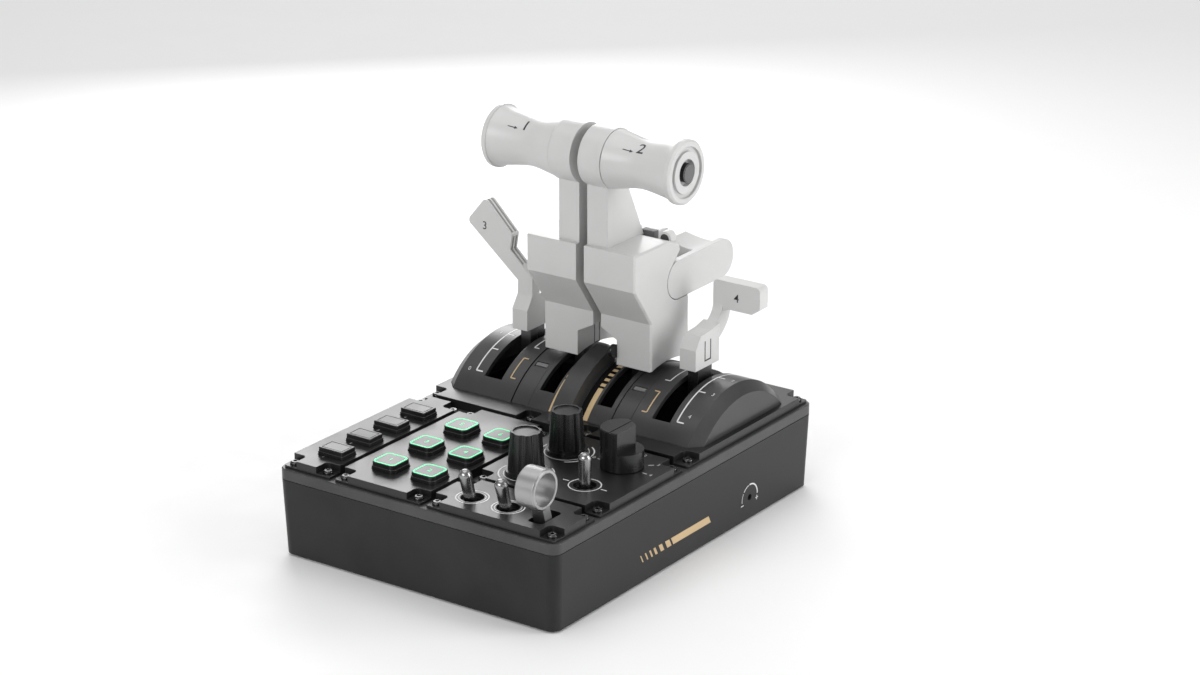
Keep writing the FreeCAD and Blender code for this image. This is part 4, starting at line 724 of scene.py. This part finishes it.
shaft = line((arrow["tail"], 0), (arrow["neck"], 0), arrow["width"])
back, half = arrow["headBack"], arrow["headHalf"]
point = ([(back, half), (back, -half), (arrow["tip"], 0)], [(0, 1, 2)])
for number, side in ((1, -1), (2, 1)):
    x = side * gripMarks["x"]
    figure = numeral(str(number), 0, 0, gripMarks["size"], gripMarks["weight"], gripMarks["slices"])
    shapes = [wrapped(figure, x, gripMarks["number"])]
    shapes += [wrapped(shape, x, gripMarks["arrow"]) for shape in (shaft, point)]
    surface = onto("grip_%d" % number, gripMarks["axisY"], gripMarks["axisZ"])
    printed("grip_mark_%d" % number, shapes, surface, inkDark, "throttle_%d" % number,
            gripMarks["height"], gripMarks["sunk"])


def onFront(y):
    return lambda u, v: (Vector((u, y, v)), Vector((0, -1, 0)))


paddleMarks = {"size": 7.0, "weight": 0.02, "places": (("speed_brake", "3", -87.9, 55.0, 144.2),
                                                       ("flaps", "4", 71.8, 80.0, 123.8))}
for body, label, x, y, z in paddleMarks["places"]:
    figure = numeral(label, x, z, paddleMarks["size"], paddleMarks["weight"])
    printed("number_" + body, [figure], onFront(y), inkDark, body)

# a dark disc on the boss of each lever head
eyes = {"x": 31.5, "y": 66.5, "z": 155.7, "radius": 2.9, "sides": 32}
turns = [2 * math.pi * i / eyes["sides"] for i in range(eyes["sides"])]
for number, side in ((1, -1), (2, 1)):
    disc = [(side * eyes["x"] + eyes["radius"] * math.cos(a), eyes["z"] + eyes["radius"] * math.sin(a))
            for a in turns]
    face = (disc, [tuple(range(eyes["sides"]))])
    printed("boss_eye_%d" % number, [face], onFront(eyes["y"]), inkDark, "throttle_%d" % number)


# a turned pad: its outline is (along the axis, radius), swept round the X axis
def turnedPad(name, outline, centre, material, body, sides=40):
    bm = bmesh.new()
    rings = []
    angles = [2 * math.pi * i / sides for i in range(sides)]
    for along, radius in outline:
        spots = [Vector((along, radius * math.cos(a), radius * math.sin(a))) for a in angles]
        rings.append([bm.verts.new((centre + spot) * mm) for spot in spots])
    for first, second in zip(rings, rings[1:]):
        for i in range(sides):
            j = (i + 1) % sides
            bm.faces.new((first[i], first[j], second[j], second[i]))
    bm.faces.new(rings[0][::-1])
    bm.faces.new(rings[-1])
    bmesh.ops.recalc_face_normals(bm, faces=bm.faces[:])
    mesh = bpy.data.meshes.new(name)
    bm.to_mesh(mesh)
    bm.free()
    mesh.materials.append(material)
    for face in mesh.polygons:
        face.use_smooth = len(face.vertices) == 4
    piece = bpy.data.objects.new(name, mesh)
    bpy.context.collection.objects.link(piece)
    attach(piece, body)


stopPad = {"place": (13.7, 43.0, 91.0), "radius": 4.0, "length": 2.8, "chamfer": 0.7, "buried": 0.3}
end, edge, chamfer = stopPad["length"], stopPad["radius"], stopPad["chamfer"]
outline = [(stopPad["buried"], edge), (-end + chamfer, edge), (-end, edge - chamfer)]
turnedPad("stop_pad", outline, Vector(stopPad["place"]), bushBlack, "throttle_2")
print("handle marks printed")

# stripes and adjuster marks on the right wall: u is Y, v is Z
stripes = {"z": 14.2, "height": 4.6, "slant": 1.3,
           "bars": ((-46.6, 0.9), (-42.0, 1.2), (-37.6, 1.5), (-33.3, 2.1), (-27.5, 3.2), (-20.8, 4.2),
                    (1.9, 37.8))}
low, high = stripes["z"] - stripes["height"] / 2, stripes["z"] + stripes["height"] / 2
slant = stripes["slant"]
marks = []
for y, width in stripes["bars"]:
    front, rear = y - width / 2, y + width / 2
    corners = [(front + slant, low), (rear + slant, low), (rear - slant, high), (front - slant, high)]
    marks.append((corners, [(0, 1, 2, 3)]))
printed("gold_stripes", marks, onWall, inkGold, "base")

adjuster = {"y": 62.5, "z": 13.3, "radius": 8.0, "sign": 1.4, "width": 0.6, "minus": (-7.5, -3.2),
            "plus": (7.7, -2.6), "arcs": ((190, 148, 0.4), (142, 102, 0.6), (96, 0, 0.9))}
marks = [ring(adjuster["y"], adjuster["z"], adjuster["radius"], width, end, start)
         for start, end, width in adjuster["arcs"]]
reach = adjuster["sign"]
for (dy, dz), upright in ((adjuster["minus"], False), (adjuster["plus"], True)):
    y, z = adjuster["y"] + dy, adjuster["z"] + dz
    marks.append(line((y - reach, z), (y + reach, z), adjuster["width"]))
    if upright:
        marks.append(line((y, z - reach), (y, z + reach), adjuster["width"]))
printed("adjuster_marks", marks, onWall, inkWhite, "base")
print("wall marks printed")

# floor, light, camera
studio = {"floor": (0.93, 0.93, 0.93), "floorLight": (0.9, 0.9, 0.9), "floorRough": (0.6, 0.8),
          "floorGrain": 60.0, "floorBump": 0.01, "floorSize": 6, "floorZ": -1.2, "sky": 0.36}
bpy.ops.mesh.primitive_plane_add(size=studio["floorSize"], location=(0, 0, studio["floorZ"] * mm))
floor = bpy.context.object
floor.name = "floor"
floorPaint = makeMaterial("floor", studio["floor"], studio["floorLight"], studio["floorRough"],
                          studio["floorGrain"], studio["floorBump"])
floor.data.materials.append(floorPaint)
world = bpy.data.worlds.new("studio")
bpy.context.scene.world = world
world.use_nodes = True
world.node_tree.nodes["Background"].inputs["Color"].default_value = (1, 1, 1, 1)
world.node_tree.nodes["Background"].inputs["Strength"].default_value = studio["sky"]


def softLight(name, size, power, place, aim):
    data = bpy.data.lights.new(name, "AREA")
    data.shape = "RECTANGLE"
    data.size, data.size_y = size
    data.energy = power
    light = bpy.data.objects.new(name, data)
    bpy.context.collection.objects.link(light)
    light.location = place
    light.rotation_euler = (Vector(place) - Vector(aim)).to_track_quat("Z", "Y").to_euler()


# each lamp: size, power, place and aim in metres
objectMiddle = (0, 0, 0.08)
lamps = {
    "overhead": ((1.8, 1.8), 15.0, (-0.3, 0.1, 2.0), objectMiddle),
    "front fill": ((1.2, 0.8), 15.0, (0.0, -1.7, 0.9), objectMiddle),
    "rear left card": ((0.5, 0.45), 2.7, (-0.62, 0.62, 0.40), objectMiddle),
    "right card": ((0.6, 1.0), 8.5, (1.05, 0.40, 0.40), objectMiddle),
    "back wash": ((2.6, 1.2), 20.0, (-1.6, 2.4, 1.5), (-1.6, 2.4, 0)),
}
for label, (size, power, place, aim) in lamps.items():
    softLight(label, size, power, place, aim)
print("studio lit")

camera = {"azimuth": 35.104, "elevation": 20.049, "distance": 1887.742, "lens": 98.68, "sensor": 36,
          "aimRight": -27.259, "aimUp": -102.728}
azimuth = math.radians(camera["azimuth"])
elevation = math.radians(camera["elevation"])
level = math.cos(elevation)
back = Vector((math.sin(azimuth) * level, -math.cos(azimuth) * level, math.sin(elevation)))
right = Vector((math.cos(azimuth), math.sin(azimuth), 0))
up = back.cross(right)
cameraData = bpy.data.cameras.new("camera")
cameraData.lens = camera["lens"]
cameraData.sensor_width = camera["sensor"]
cameraObject = bpy.data.objects.new("camera", cameraData)
bpy.context.collection.objects.link(cameraObject)
place = (back * camera["distance"] - right * camera["aimRight"] - up * camera["aimUp"]) * mm
turn = Matrix((right, up, back)).transposed().to_4x4()
cameraObject.matrix_world = Matrix.Translation(place) @ turn
bpy.context.scene.camera = cameraObject
bpy.context.scene.view_settings.view_transform = "Standard"
print("camera placed")
